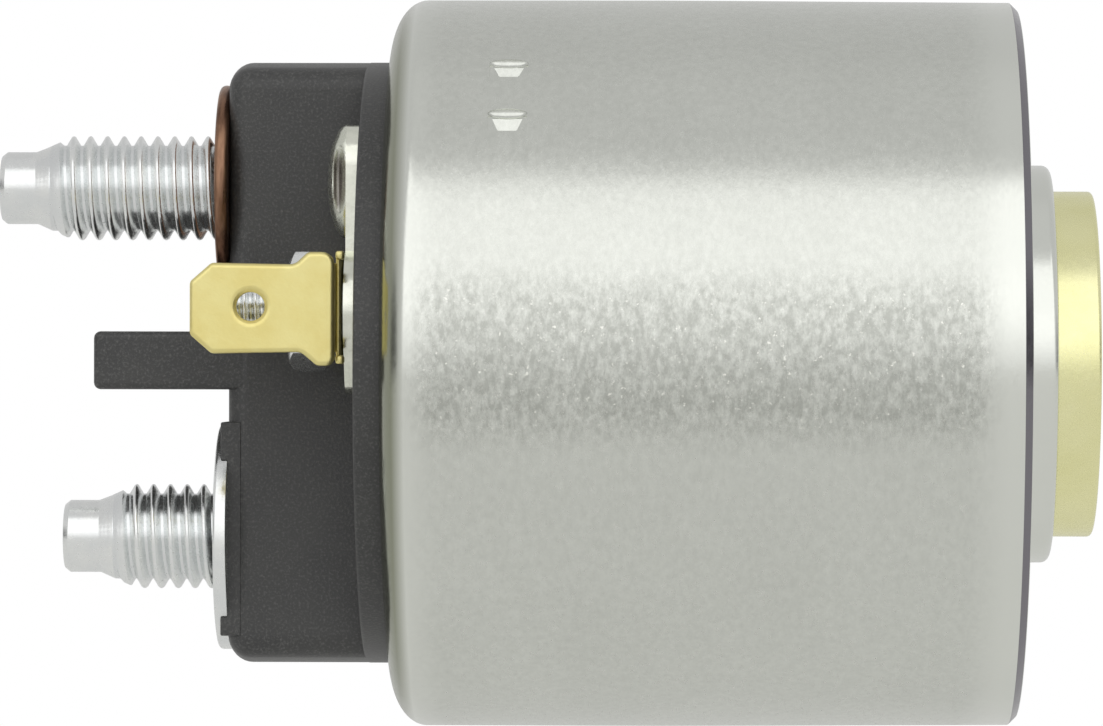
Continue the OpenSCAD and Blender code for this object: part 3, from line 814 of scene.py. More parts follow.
@dataclass(frozen=True)
class CaseFinish(Finish):
    """Satin zinc on deep-drawn steel: dull and mottled along the drawn wall, with painted light and shade on
    its ends, its front edge and its near side.

    The wall and the near-side band of painted camera shade are each a low limit, a high limit, and the length
    over which they fade out.
    """

    # Front edge: a darker bare cut edge, deepened with painted shade where it faces the dark open side
    cut_edge_and_shade_colour: str = "8A878D"
    edge_from: float = -0.58
    edge_to: float = -0.04
    edge_radius: float = 25.5
    # Painted shade on the rear shoulder: its dark greenish reflection of the open side
    rear_shade_colour: str = "8F927E"
    rear_shade_from: float = -44.2
    rear_shade_to: float = -45.1
    rear_shade_most: float = 0.92
    wall: Triple = (-41.4, -5.0, 3.6)
    wall_dull: float = 0.06
    wall_mottle: float = 0.36
    end_press: float = 0.35
    # Near-side band where the camera's dark reflection is painted
    shade_band: Triple = (-2.6, 3.4, 4.4)
    shade_band_dull: float = 0.06
    # Mottle colour: faint over the whole wall, and the painted camera shade on the near side
    mottle_and_camera_shade_colour: str = "BCBEB7"
    mottle_stretch: Triple = (1.0, 1.0, 0.6)
    mottle_cloud: Cloud = Cloud(2.0, detail=5.0, roughness=0.74, low=0.3, high=0.7)
    speck_colour: str = "FAFAF2"
    speck_cloud: Cloud = Cloud(3.0, detail=2.0, roughness=0.5, low=0.66, high=0.76)
    # Painted highlight on both ends, where the shoulder and the front turn to the light
    end_highlight_colour: str = "EBEDE6"

    def band(self, tree: NodeTree, value: NodeSocket, limits: Triple) -> NodeSocket:
        """Makes a share that is 1 between two limits and fades out at both.

        Args:
            tree: The node tree.
            value: The place along one axis.
            limits: Low limit, high limit, and the length of each fade.

        Returns:
            The share.
        """
        low, high, fade = limits
        return product(tree, ranged(tree, value, low - fade, low, soft=True),
                       ranged(tree, value, high + fade, high, soft=True))

    def worn(self, tree: NodeTree, place: NodeSocket) -> tuple[NodeSocket, NodeSocket]:
        """Finds where the case was drawn, and the band on its near side where the camera's dark reflection is
        painted.

        Args:
            tree: The node tree.
            place: Object coordinates in millimetres.

        Returns:
            The share of drawn wall, and the share of the near-side band of painted camera shade.
        """
        x, y, z = parts_of(tree, place)
        wall = self.band(tree, x, self.wall)
        near = calc(tree, "LESS_THAN", y, 0.0)
        return wall, product(tree, wall, near, self.band(tree, z, self.shade_band))

    def dull(self, tree: NodeTree, place: NodeSocket, gloss: NodeSocket) -> NodeSocket:
        """Makes the drawn wall rougher than the turned end and the rolled shoulder.

        Args:
            tree: The node tree.
            place: Object coordinates in millimetres.
            gloss: The roughness of the plating.

        Returns:
            The roughness with what the wall and the near-side shade band add.
        """
        for share, more in zip(self.worn(tree, place), (self.wall_dull, self.shade_band_dull)):
            gloss = calc(tree, "MULTIPLY_ADD", share, more, gloss)
        return gloss

    def press(self, tree: NodeTree, place: NodeSocket) -> NodeSocket | float:
        """Makes the grain stand out where the wall was drawn."""
        return ranged(tree, self.worn(tree, place)[0], 0.0, 1.0, self.end_press)

    def tint(self, tree: NodeTree, place: NodeSocket, colour: NodeSocket) -> NodeSocket:
        """Paints a highlight on both ends, mottles the wall, paints the camera's dark reflection and light
        specks on its near side, and paints shade on the rear shoulder and the front edge.

        Args:
            tree: The node tree.
            place: Object coordinates in millimetres.
            colour: The plated colour.

        Returns:
            The colour with all of these.
        """
        x, y, z = parts_of(tree, place)
        wall, near = self.worn(tree, place)
        # Painted highlight: both ends lighter than the drawn wall
        colour = mixed(tree, wall, linear(self.end_highlight_colour), colour)
        drawn_out = add_node(tree, "ShaderNodeMapping", inputs={"Vector": place, "Scale": self.mottle_stretch})
        # Painted shade: the camera's dark reflection, mottled, on the near side, over a faint mottle on the
        # whole wall
        mottle_and_camera_shade = product(tree, calc(tree, "MULTIPLY_ADD", wall, self.wall_mottle, near),
                          self.mottle_cloud.share(tree, drawn_out.outputs[0]))
        colour = mixed(tree, mottle_and_camera_shade, colour, linear(self.mottle_and_camera_shade_colour))
        speckled = product(tree, near, self.speck_cloud.share(tree, place))
        colour = mixed(tree, speckled, colour, linear(self.speck_colour))
        # Painted shade on the rear shoulder, greenish grey
        rear = ranged(tree, x, self.rear_shade_from, self.rear_shade_to, 0.0, self.rear_shade_most)
        colour = mixed(tree, rear, colour, linear(self.rear_shade_colour))
        # Painted shade on the front edge, over its darker bare cut
        edge = product(tree, calc(tree, "GREATER_THAN", x, self.edge_from),
                       calc(tree, "LESS_THAN", x, self.edge_to),
                       calc(tree, "GREATER_THAN", self.radius(tree, y, z), self.edge_radius))
        return mixed(tree, edge, colour, linear(self.cut_edge_and_shade_colour))


@dataclass(frozen=True)
class FleckedFinish(Finish):
    """Filled moulding compound, whose filler shows as fine pale flecks."""

    fleck_colour: str = "626260"
    flecks: Cloud = Cloud(5.0, detail=3.0, roughness=0.7, low=0.5, high=0.74)

    def tint(self, tree: NodeTree, place: NodeSocket, colour: NodeSocket) -> NodeSocket:
        """Returns the colour with the flecks of the filler on it."""
        return mixed(tree, self.flecks.share(tree, place), colour, linear(self.fleck_colour))


@dataclass(frozen=True)
class ThreadFinish(Finish):
    """Bright zinc on a rolled thread, with painted shade from the crests down into the roots."""

    root_r: float = 3.2
    crest_r: float = 3.8
    thread_from: float = -100.0
    root_shade_colour: str = "EFF1F1"

    def tint(self, tree: NodeTree, place: NodeSocket, colour: NodeSocket) -> NodeSocket:
        """Paints shade into the thread's roots, and leaves the smooth point bright.

        Args:
            tree: The node tree.
            place: Object coordinates in millimetres, from the stud's axis.
            colour: The plated colour.

        Returns:
            The colour with the painted shade in the roots.
        """
        x, y, z = parts_of(tree, place)
        # Painted shade, from the crests down into the thread's roots
        deep = ranged(tree, self.radius(tree, y, z), self.crest_r, self.root_r)
        share = product(tree, deep, calc(tree, "GREATER_THAN", x, self.thread_from))
        return mixed(tree, share, colour, linear(self.root_shade_colour))


@dataclass(frozen=True)
class SolderFinish(Finish):
    """Solder with painted grey-brown shade in its shrink hollow, which keeps the hollow dark.

    The painted shade is an egg about the hollow's middle. Its edge and its full shade are shares of the egg's
    radii.
    """

    hollow: Triple = (-49.62, -12.9, 13.1)
    hollow_size: Triple = (0.36, 9.0, 2.35)
    hollow_shade: str = "7D7773"
    shade_edge: float = 1.1
    shade_full: float = 0.7
    shade_most: float = 0.9

    def tint(self, tree: NodeTree, place: NodeSocket, colour: NodeSocket) -> NodeSocket:
        """Paints shade into the hollow.

        Args:
            tree: The node tree.
            place: Object coordinates in millimetres.
            colour: The solder's colour.

        Returns:
            The colour with the painted shade.
        """
        away = place
        for operation, value in (("SUBTRACT", self.hollow), ("DIVIDE", self.hollow_size)):
            away = add_node(tree, "ShaderNodeVectorMath", {"operation": operation},
                            {0: away, 1: value}).outputs[0]
        # Painted shade in the shrink hollow
        hollow_shade = ranged(tree, length_of(tree, away), self.shade_edge, self.shade_full, 0.0, self.shade_most)
        return mixed(tree, hollow_shade, colour, linear(self.hollow_shade))


class Finishes:
    """The part's finishes, each built once."""

    def __init__(self) -> None:
        """Builds the materials."""
        # Satin zinc over drawn steel: soft broad band of light, with a fine speckle where it turns dark
        self.case = CaseFinish("Satin_zinc_on_drawn_steel", "E6E8E1", "E3E5DE", 1.0, (0.13, 0.23), 0.3, 6.0,
                               0.013, unrolled_r=27.0, round_stretch=2.2).build()
        # Machined low-carbon steel: grey, with fine tool lines
        self.machined = Finish("Machined_steel", "A9ABAE", "96989C", 1.0, (0.24, 0.4), 0.3, 5.0, 0.004,
                               Pattern.TURNED, 0.35, 0.004).build()
        # Hard-drawn spring wire: dark grey and evenly glossy
        self.spring = Finish("Hard_drawn_spring_wire", "7C7E82", "6B6D71", 1.0, (0.25, 0.4), 0.3, 3.0,
                             0.003).build()
        # Drawn brass tube: pale greenish yellow, with faint lines round it
        self.sleeve = Finish("Drawn_brass_tube", "FFFCC6", "FAF7BC", 1.0, (0.2, 0.32), 0.4, 5.0, 0.005,
                             Pattern.TURNED, 0.5, 0.0015).build()
        # Stamped brass sheet: yellow, dulled by handling
        self.blade = Finish("Stamped_brass_sheet", "F6EAA4", "F0E196", 1.0, (0.34, 0.46), 0.3, 2.5,
                            0.01).build()
        # Bare copper washer: brown where it has oxidised, in streaks round its rim
        self.copper = Finish("Oxidised_bare_copper", "A07C64", "543A2E", 1.0, (0.25, 0.4), 0.3, 0.9,
                             0.01, centre=(0.0, 12.95), unrolled_r=7.65, round_stretch=5.0).build()
        # Enamelled copper wire: glossy red-brown, wound in close rows
        self.wire = Finish("Enamelled_copper_winding", "A85A2E", "8E4622", 0.7, (0.25, 0.4), 0.4, 4.0, 0.004,
                           Pattern.WOUND, 0.9, 0.2).build()
        # Hot dipped tin: bright, soft and slightly wavy
        self.tin = Finish("Hot_dipped_tin", "F2F3E6", "E4E6D8", 1.0, (0.12, 0.26), 0.5, 1.6, 0.01).build()
        # Solder: as bright as the tin, with painted grey-brown shade where it shrank hollow
        self.solder = SolderFinish("Tin_lead_solder", "EDEFE2", "D9DBCE", 1.0, (0.2, 0.34), 0.5, 1.6,
                                   0.015).build()
        # Glass-filled phenolic moulding: near black, satin, with a fine moulded grain
        self.phenolic = FleckedFinish("Moulded_black_phenolic", "383838", "3E3E3D", 0.0, (0.33, 0.48), 0.2,
                                      4.0, 0.035, ior=1.55).build()
        # Black nylon spool: smooth and satin
        self.nylon = Finish("Moulded_black_nylon", "242322", "2E2C2A", 0.0, (0.38, 0.5), 0.5, 5.0, 0.006,
                            ior=1.53).build()
        # Vulcanised fibre that insulates the contact: red-brown and nearly matt
        self.fibre = Finish("Vulcanised_fibre", "7A3520", "8F4630", 0.0, (0.5, 0.65), 0.35, 2.0, 0.01).build()
        # Insulating paper band: buff and matt
        self.paper = Finish("Insulating_paper", "CDBB8C", "BCA877", 0.0, (0.65, 0.8), 0.6, 3.0, 0.02).build()
        # Sealing rubber: black and matt
        self.rubber = Finish("Sealing_rubber", "1A1A1B", "232324", 0.0, (0.6, 0.75), 0.4, 2.0, 0.01,
                             ior=1.52).build()

    def zinc(self, name: str, centre: Pair, root_r: float = 1.0, crest_r: float = 2.0,
             thread_from: float = -100.0) -> Material:
        """Builds bright bluish zinc, with painted shade from a thread's crests down to its roots.

        Args:
            name: The material's name.
            centre: Y and Z of the thread's axis.
            root_r: Radius up to which the painted shade is full. The default lies inside any unthreaded
                piece.
            crest_r: Radius from which there is no painted shade.
            thread_from: Station where the thread starts behind a smooth point.

        Returns:
            The material.
        """
        return ThreadFinish(name, "FAFBF9", "F1F3F3", 1.0, (0.16, 0.3), 0.3, 2.5, 0.004, Pattern.TURNED, 0.3,
                            0.0012, centre, root_r=root_r, crest_r=crest_r, thread_from=thread_from).build()


# Sub-assemblies


@dataclass
class Case:
    """Drawn steel case with its collar, tapped holes and staking dents, and the brass guide sleeve in it.

    The dent's outlines are each a depth below the wall and a height from the dent's middle. The flank of
    the tapped thread is three shares of its pitch: where its root starts, where that ends, and where the
    next crest starts.
    """

    radius: float = 26.92
    taper: float = 0.16
    taper_len: float = 25.0
    inner_r: float = 25.0
    rear: float = -46.1
    lip: float = -44.3
    lip_r: float = 22.5
    base: float = -6.0
    shoulder_len: float = 2.6
    shoulder_drop: float = 4.0
    shoulder_steps: int = 16
    front_edge: float = 0.56
    bore_r: float = 12.85
    collar_r: float = 14.725
    collar_h: float = 2.5
    collar_edge: float = 0.6
    wall_rings: tuple[float, ...] = (
        -3.0, -8.0, -14.0, -20.0, -26.0, -31.0, -34.0, -35.6, -37.0, -38.2, -39.6, -41.0)
    hole_ring_r: float = 20.5
    hole_angles: Triple = (0.0, 120.0, 240.0)
    hole_r: float = 2.1
    hole_pitch: float = 0.8
    hole_thread: float = 0.36
    hole_flank: Triple = (0.35, 0.45, 0.8)
    hole_turns: int = 7
    hole_sink: float = 0.5
    hole_over: float = 0.6
    stake_x: float = -37.1
    stake_half: float = 1.3
    stake_angles: tuple[float, ...] = (39.6, 51.4, 219.6, 231.4)
    seat: tuple[Pair, ...] = ((-1.2, 0.6), (0.08, 0.5), (0.13, -0.78), (-1.2, -0.82))
    seat_more: float = 0.1
    pocket: tuple[Pair, ...] = ((-1.2, 0.4), (0.12, 0.34), (0.7, -0.8), (0.6, -0.88), (-1.2, -0.88))
    pocket_share: float = 0.84
    pocket_taper: float = 0.6
    scoop: Pair = (-0.05, 0.76)
    scoop_more: float = 0.12
    scoop_size: Pair = (0.45, 0.5)
    sleeve_r: float = 12.8
    sleeve_inner_r: float = 12.0
    sleeve_end: float = 5.67
    sleeve_rear: float = -35.3

    def wall_r(self, x: float) -> float:
        """Returns the wall's radius at a station: drawing leaves it a little smaller towards the front."""
        return self.radius - self.taper * max(0.0, 1 + x / self.taper_len)

    def shell_outline(self) -> Outline:
        """Draws the section of the case's wall.

        Returns:
            The closed outline, as stations and radii.
        """
        front_r = self.wall_r(0)
        front = fillet([
            (self.base, self.bore_r, 0.0), (self.collar_h, self.bore_r, 0.2),
            (self.collar_h, self.collar_r, self.collar_edge), (0.0, self.collar_r, 0.15),
            (0.0, front_r - self.front_edge, 0.06), (-self.front_edge, front_r, 0.06),
            (self.wall_rings[0], self.radius, 0.0),
        ])
        # Rings between the ends keep the wall's faces short, so that the dents don't spoil its shading
        wall = [(x, self.wall_r(x)) for x in self.wall_rings]
        quarter = (math.radians(90 * k / self.shoulder_steps) for k in range(self.shoulder_steps + 1))
        shoulder = [(self.rear + self.shoulder_len * (1 - math.sin(a)),
                     self.radius - self.shoulder_drop * (1 - math.cos(a))) for a in quarter]
        inside = fillet([
            shoulder[-1] + (0.0,), (self.rear, self.lip_r, 0.15), (self.lip, self.lip_r, 0.1),
            (self.lip, self.inner_r, 0.0), (self.base, self.inner_r, 0.0),
        ])
        return front[:-1] + wall + shoulder[:-1] + inside

    def hole_tool(self, angle: float) -> Object:
        """Makes the cutter of one tapped hole, with its thread's rings and its countersunk mouth.

        Args:
            angle: Angle of the hole about the axis.

        Returns:
            The cutter, in its place.
        """
        r, p, over = self.hole_r, self.hole_pitch, self.hole_over
        root, (root_from, root_to, crest) = r + self.hole_thread, self.hole_flank
        outline: Outline = [(over, 0.0), (over, r + over + self.hole_sink), (-self.hole_sink, r)]
        for i in range(self.hole_turns):
            x = -over - i * p
            outline += [(x, r), (x - root_from * p, root), (x - root_to * p, root), (x - crest * p, r)]
        outline += [(self.base - over, r), (self.base - over, 0.0)]
        return turn_about_x(turned("hole_tool", outline, (0.0, self.hole_ring_r), 48), angle)

    def dent_tools(self, angle: float) -> list[Object]:
        """Makes the punches of one staking dent: a shallow seat, a scoop above and a sloping pocket below.

        Args:
            angle: Angle of the dent from the -Y side upwards.

        Returns:
            The three punches, set into the case's wall.
        """
        x, y, half = self.stake_x, -self.radius, self.stake_half

        def punch(name: str, outline: tuple[Pair, ...], reach: float) -> Object:
            """Returns one punch, as long to both sides of the dent's middle."""
            return extruded(name, [(y + depth, height) for depth, height in outline], Plane.YZ_ALONG_X,
                            x - reach, x + reach)

        seat = punch("dent_seat", self.seat, half + self.seat_more)
        pocket = punch("dent_pocket", self.pocket, self.pocket_share * half)
        edit_where(pocket, lambda p: p.z < 0, lambda: bpy.ops.transform.resize(
            value=(self.pocket_taper, 1, 1), center_override=mm(x, y, 0), orient_type="GLOBAL"))
        scoop = ball("dent_scoop", (x, y + self.scoop[0], self.scoop[1]),
                     (half + self.scoop_more, *self.scoop_size), 48, 24)
        return [turn_about_x(tool, -angle) for tool in (seat, scoop, pocket)]

    def make(self, finishes: Finishes) -> None:
        """Makes and dresses the case and the guide sleeve.

        Args:
            finishes: The part's finishes.
        """
        shell = turned("case_shell", self.shell_outline(), steps=192, closed=True)
        carve(shell, *(self.hole_tool(angle) for angle in self.hole_angles))
        for angle in self.stake_angles:
            carve(shell, *self.dent_tools(angle))
        hand_in(smooth(shell, 30), Body.HOUSING, "plated_steel", finishes.case, "case")
        sleeve = turned("brass_guide_sleeve", fillet([
            (self.sleeve_rear, self.sleeve_inner_r, 0.1), (self.sleeve_end, self.sleeve_inner_r, 0.2),
            (self.sleeve_end, self.sleeve_r, 0.35), (self.sleeve_rear, self.sleeve_r, 0.1)],
            closed=True), steps=160, closed=True)
        hand_in(sleeve, Body.HOUSING, "brass", finishes.sleeve, "guide_sleeve")
        dress_nodes(finishes.machined, "fixed_core")
        dress_nodes(finishes.sleeve, "anti_stick_shim")


@dataclass
class Plunger:
    """Sliding plunger with its lever slot, cross pin and return spring."""

    radius: float = 11.92
    face: float = -13.6
    end: float = 4.5
    chamfer: float = 0.8
    edge: float = 0.18
    bore_r: float = 6.5
    bore_end: float = -9.5
    slot_w: float = 7.0
    slot_bottom: float = -6.0
    pin_x: float = 1.6
    pin_r: float = 1.6
    pin_play: float = 0.05
    pin_half: float = 11.51
    spring_from: float = -28.0
    spring_r: float = 5.5
    wire_r: float = 0.5
    spring_turns: float = 7.0
    spring_keep: float = 0.459

    def make_body(self, finishes: Finishes) -> None:
        """Makes the plunger: turned, bored for the spring, slotted for the lever and drilled for the pin.

        Args:
            finishes: The part's finishes.
        """
        body = turned("plunger_body", fillet([
            (self.bore_end, 0.0, 0.0), (self.bore_end, self.bore_r, 0.4), (self.face, self.bore_r, 0.3),
            (self.face, self.radius - self.chamfer, 0.1), (self.face + self.chamfer, self.radius, 0.2),
            (self.end - self.chamfer, self.radius, 0.2), (self.end, self.radius - self.chamfer, 0.1),
            (self.end, 0.0, 0.0)]), steps=128)
        slot = block("slot_tool", (self.slot_bottom, -REACH, -self.slot_w / 2),
                     (REACH, REACH, self.slot_w / 2))
        hole_r, steps = self.pin_r + self.pin_play, 48
        circle = [(self.pin_x + hole_r * math.cos(a), hole_r * math.sin(a))
                  for a in (2 * math.pi * k / steps for k in range(steps))]
        carve(body, slot, extruded("pin_tool", circle, Plane.XY_ALONG_Z, -REACH, REACH))
        soften(body, self.edge, 2, 50)
        hand_in(smooth(body, 30), Body.PLUNGER, "bare_steel", finishes.machined, "plunger")

    def make_pin(self, finishes: Finishes) -> None:
        """Makes the pin along X and turns it upright, across the slot.

        Args:
            finishes: The part's finishes.
        """
        pin = turned("lever_cross_pin", fillet([
            (-self.pin_half, 0.0, 0.0), (-self.pin_half, self.pin_r, 0.35), (self.pin_half, self.pin_r, 0.35),
            (self.pin_half, 0.0, 0.0)]), steps=48)
        for vertex in pin.data.vertices:
            vertex.co = Vector((vertex.co.z + self.pin_x * MM, vertex.co.y, -vertex.co.x))
        hand_in(pin, Body.PLUNGER, "zinc_stud", finishes.spring, "lever_pin")

    def make(self, finishes: Finishes) -> None:
        """Makes and dresses the plunger, its pin and its spring.

        Args:
            finishes: The part's finishes.
        """
        self.make_body(finishes)
        self.make_pin(finishes)
        spring = coil("plunger_spring", self.spring_from, self.bore_end - self.spring_from,
                      (self.spring_r, self.spring_r), self.wire_r, self.spring_turns)
        hand_in(spring, Body.HOUSING, "spring_steel", finishes.spring, "plunger_return_spring")
        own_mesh(spring)


@dataclass
class Contacts:
    """Push rod, spring seat, contact bridge and their two springs, inside the cap."""

    seat: float = -42.3
    bush: float = -46.3
    clip: float = -50.5
    recess: float = -56.5
    contact_r: Pair = (3.5, 3.5)
    contact_wire_r: float = 0.35
    contact_turns: float = 2.5
    contact_keep: float = 0.8
    opening_r: Pair = (3.9, 2.6)
    opening_wire_r: float = 0.3
    opening_turns: float = 4.0
    opening_keep: float = 0.467

    def make(self, finishes: Finishes) -> None:
        """Makes the two springs and dresses the CAD nodes of the contact train.

        Args:
            finishes: The part's finishes.
        """
        spring = coil("contact_pressure_spring", self.bush, self.seat - self.bush, self.contact_r,
                      self.contact_wire_r, self.contact_turns)
        hand_in(spring, Body.ROD, "spring_steel", finishes.spring, "contact_spring")
        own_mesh(spring)
        spring = coil("contact_opening_spring", self.recess, self.clip - self.recess, self.opening_r,
                      self.opening_wire_r, self.opening_turns)
        hand_in(spring, Body.HOUSING, "spring_steel", finishes.spring, "contact_return_spring")
        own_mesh(spring)
        dress_nodes(finishes.machined, "push_rod", "rod_clip")
        dress_nodes(finishes.fibre, "spring_seat", "bridge_bush", "bridge_washer")
        dress_nodes(finishes.copper, "contact_bridge")


@dataclass
class Coil:
    """Spool, windings, paper band and leads, which stay in their CAD shapes."""

    windings: tuple[str, ...] = ("pull_in_winding", "hold_in_winding")
    leads: tuple[str, ...] = ("control_lead", "motor_lead", "ground_lead")

    def make(self, finishes: Finishes) -> None:
        """Dresses the coil's CAD nodes.

        Args:
            finishes: The part's finishes.
        """
        dress_nodes(finishes.nylon, "coil_bobbin")
        dress_nodes(finishes.wire, *self.windings, *self.leads)
        dress_nodes(finishes.paper, "winding_wrap")
        dress_nodes(finishes.rubber, "cap_gasket")


@dataclass
class Cap:
    """Moulded terminal cap with its flat, ledge, barrier wall and contact chamber."""

    radius: float = 22.3
    inner_end: float = -41.3
    lip: float = -44.3
    rim_r: float = 24.8
    ledge: float = -48.0
    end: float = -58.05
    end_edge: float = 1.6
    flat: float = 6.2
    flat_edge: float = 1.8
    head_less: float = 0.02
    head_steps: int = 96
    edge_steps: int = 8
    moulded_edge: float = 0.25
    barrier_low: float = -2.0
    barrier_high: float = 2.27
    barrier_end: float = -67.93
    barrier_depth: float = 20.0
    barrier_edge: float = 0.5
    barrier_back: float = 0.03
    seat_h: float = 0.5
    seat_low: float = -20.1
    seat_high: float = -4.4
    seat_back: float = 0.05
    seat_edge: float = 0.12
    seat_r: float = 8.45
    chamber_r: float = 20.0
    chamber_flat: float = 4.4
    ceiling: float = -54.5
    recess: float = -56.5
    stud_z: float = 12.95
    stud_bore_r: float = 4.55
    control: Pair = (-12.0, 3.67)
    control_bore_r: float = 3.05
    control_head_r: float = 4.25
    control_head_x: float = -43.4
    control_overlap: float = 0.2
    lead: Pair = (-10.3, 13.15)
    lead_bore_r: float = 0.9

    def head_block(self) -> Object:
        """Makes the cap's thick end: a round block with a flat front, all its outer edges well rounded.

        Returns:
            The block, a hair narrower than the round base that it grows from.
        """
        r, edge_r = self.radius - self.head_less, self.flat_edge
        reach = r - edge_r
        tilt = math.asin((self.flat - edge_r) / reach)
        corner_y, corner_z = -reach * math.sin(tilt), reach * math.cos(tilt)
        edge = [(corner_y - edge_r * math.sin(a), corner_z + edge_r * math.cos(a))
                for a in (math.pi / 2 + (tilt - math.pi / 2) * k / self.edge_steps
                          for k in range(self.edge_steps + 1))]
        back = [(-r * math.sin(a), r * math.cos(a))
                for a in (tilt - (math.pi + 2 * tilt) * k / self.head_steps
                          for k in range(1, self.head_steps))]
        outline = edge + back + [(y, -z) for y, z in reversed(edge)]
        front = extruded("cap_head", outline, Plane.YZ_ALONG_X, self.end, self.ledge + OVERRUN)
        edit_where(front, lambda p: p.x < self.end + NEAR, lambda: bpy.ops.mesh.bevel(
            offset=self.end_edge * MM, segments=self.edge_steps, affect="EDGES"))
        return front

    def washer_seat(self) -> Object:
        """Makes the two raised corners that the motor washer's round seat leaves in a square pad.

        Returns:
            The corners.
        """
        seat = block("washer_seat", (self.end - self.seat_h, self.seat_back - self.flat, self.seat_low),
                     (self.end + OVERRUN, self.flat, self.seat_high), self.seat_edge, 2)
        carve(seat, bar("bore_tool", (0.0, -self.stud_z), self.seat_r, self.end - OVERRUN, self.end))
        return seat

    def chamber(self) -> Object:
        """Makes the cutter of the contact chamber, flat behind the cap's flat front.

        Returns:
            The cutter.
        """
        chamber = bar("chamber_tool", (0.0, 0.0), self.chamber_r, self.ceiling, self.inner_end + OVERRUN)
        carve(chamber, block("chamber_flat_tool", (self.ceiling - OVERRUN, -2 * REACH, -2 * REACH),
                             (self.inner_end + 2 * OVERRUN, -self.chamber_flat, 2 * REACH)))
        return chamber

    def make(self, finishes: Finishes) -> None:
        """Makes and dresses the cap.

        Args:
            finishes: The part's finishes.
        """
        cap = turned("moulded_cap", fillet([
            (self.inner_end, 0.0, 0.0), (self.inner_end, self.rim_r, 0.2), (self.lip, self.rim_r, 0.2),
            (self.lip, self.radius, 0.0), (self.ledge, self.radius, self.moulded_edge),
            (self.ledge, 0.0, 0.0)]), steps=160)
        carve(cap, self.head_block(), how=Carve.JOIN)
        wall = block("barrier_tool", (self.barrier_end, self.barrier_back - self.flat, self.barrier_low),
                     (self.recess, self.barrier_depth - self.flat, self.barrier_high), self.barrier_edge, 4)
        carve(cap, wall, how=Carve.JOIN)
        carve(cap, self.washer_seat(), how=Carve.JOIN)
        carve(cap, self.chamber())
        past_ceiling, past_end, past_ledge = self.ceiling + OVERRUN, self.end - OVERRUN, self.ledge - OVERRUN
        inside = self.inner_end + OVERRUN
        for centre, r, start, end in (
                ((0.0, 0.0), self.chamber_flat, self.recess, past_ceiling),
                ((0.0, self.stud_z), self.stud_bore_r, past_end, past_ceiling),
                ((0.0, -self.stud_z), self.stud_bore_r, past_end, past_ceiling),
                (self.control, self.control_bore_r, past_ledge, self.control_head_x + self.control_overlap),
                (self.control, self.control_head_r, self.control_head_x, inside),
                (self.lead, self.lead_bore_r, past_ledge, inside)):
            carve(cap, bar("bore_tool", centre, r, start, end))
        hand_in(smooth(cap, 30, True), Body.HOUSING, "phenolic", finishes.phenolic, "terminal_cap")


@dataclass
class CableStud:
    """Threaded cable stud whose head is a fixed contact, with the washer on it.

    Its plating is free of painted shade over the topmost part of the ridge, as high as bright_top says.
    """

    name: str
    node: str
    z: float
    tip: float
    washer_r: float
    washer_t: float
    first_crest: float
    turns: float
    washer_metal: WasherMetal
    crest_r: float = 3.87
    root_r: float = 3.17
    pitch: float = 1.252
    seat: float = -58.0
    contact: float = -51.6
    head_r: float = 6.5
    head_top: float = -54.5
    head_flat: float = 4.2
    head_over: float = 0.1
    shank_r: float = 4.5
    point_r: float = 2.68
    point_len: float = 2.65
    point_edge: float = 0.4
    point_slope: float = 0.8
    flare_len: float = 1.1
    flare_slope: float = 0.45
    bright_top: float = 0.15
    washer_play: float = 0.12
    rim_edges: Pair = (0.12, 0.3)

    def make(self, finishes: Finishes) -> None:
        """Makes and dresses the stud and its washer.

        Args:
            finishes: The part's finishes.
        """
        centre = (0.0, self.z)
        flare = self.tip + self.point_len
        stud = turned(f"{self.name}_stud_body", fillet([
            (self.contact, 0.0, 0.0), (self.contact, self.head_r, 0.3), (self.head_top, self.head_r, 0.1),
            (self.head_top, self.shank_r, 0.1), (self.seat, self.shank_r, 0.1), (self.seat, self.root_r, 0.1),
            (flare + self.flare_len, self.root_r, 0.1), (flare, self.point_r, 0.25),
            (self.tip + self.point_edge, self.point_r, 0.15),
            (self.tip, self.point_r - self.point_slope * self.point_edge, 0.12), (self.tip, 0.0, 0.0)],
            steps=6), centre, 96)
        carve(stud, block("head_tool", (self.head_top - self.head_over, -REACH, self.z - REACH),
                          (self.contact + OVERRUN, -self.head_flat, self.z + REACH)))
        ridge = thread("stud_thread", centre, self.first_crest, self.turns, self.pitch,
                       (self.root_r, self.crest_r), (flare, self.point_r, self.flare_slope))
        zinc = finishes.zinc(f"Bright_zinc_{self.name}_stud", centre, self.root_r,
                             self.crest_r - self.bright_top, flare + self.flare_len)
        hand_in(smooth(joined(stud, ridge), 34), Body.HOUSING, "zinc_stud", zinc, self.node)
        self.make_washer(finishes)

    def make_washer(self, finishes: Finishes) -> None:
        """Makes the washer, pressed from sheet, so one rim is rounder than the other.

        Args:
            finishes: The part's finishes.
        """
        centre, inner = (0.0, self.z), self.crest_r + self.washer_play
        washer = turned(f"{self.name}_washer_ring", fillet([
            (self.seat, inner, 0.15), (self.seat, self.washer_r, self.rim_edges[0]),
            (self.seat - self.washer_t, self.washer_r, self.rim_edges[1]),
            (self.seat - self.washer_t, inner, 0.1)], closed=True), centre, 112, closed=True)
        is_copper = self.washer_metal is WasherMetal.COPPER
        metal = finishes.copper if is_copper else finishes.zinc("Zinc_plated_washer", centre)
        hand_in(washer, Body.HOUSING, self.washer_metal.value, metal, f"{self.name}_washer")


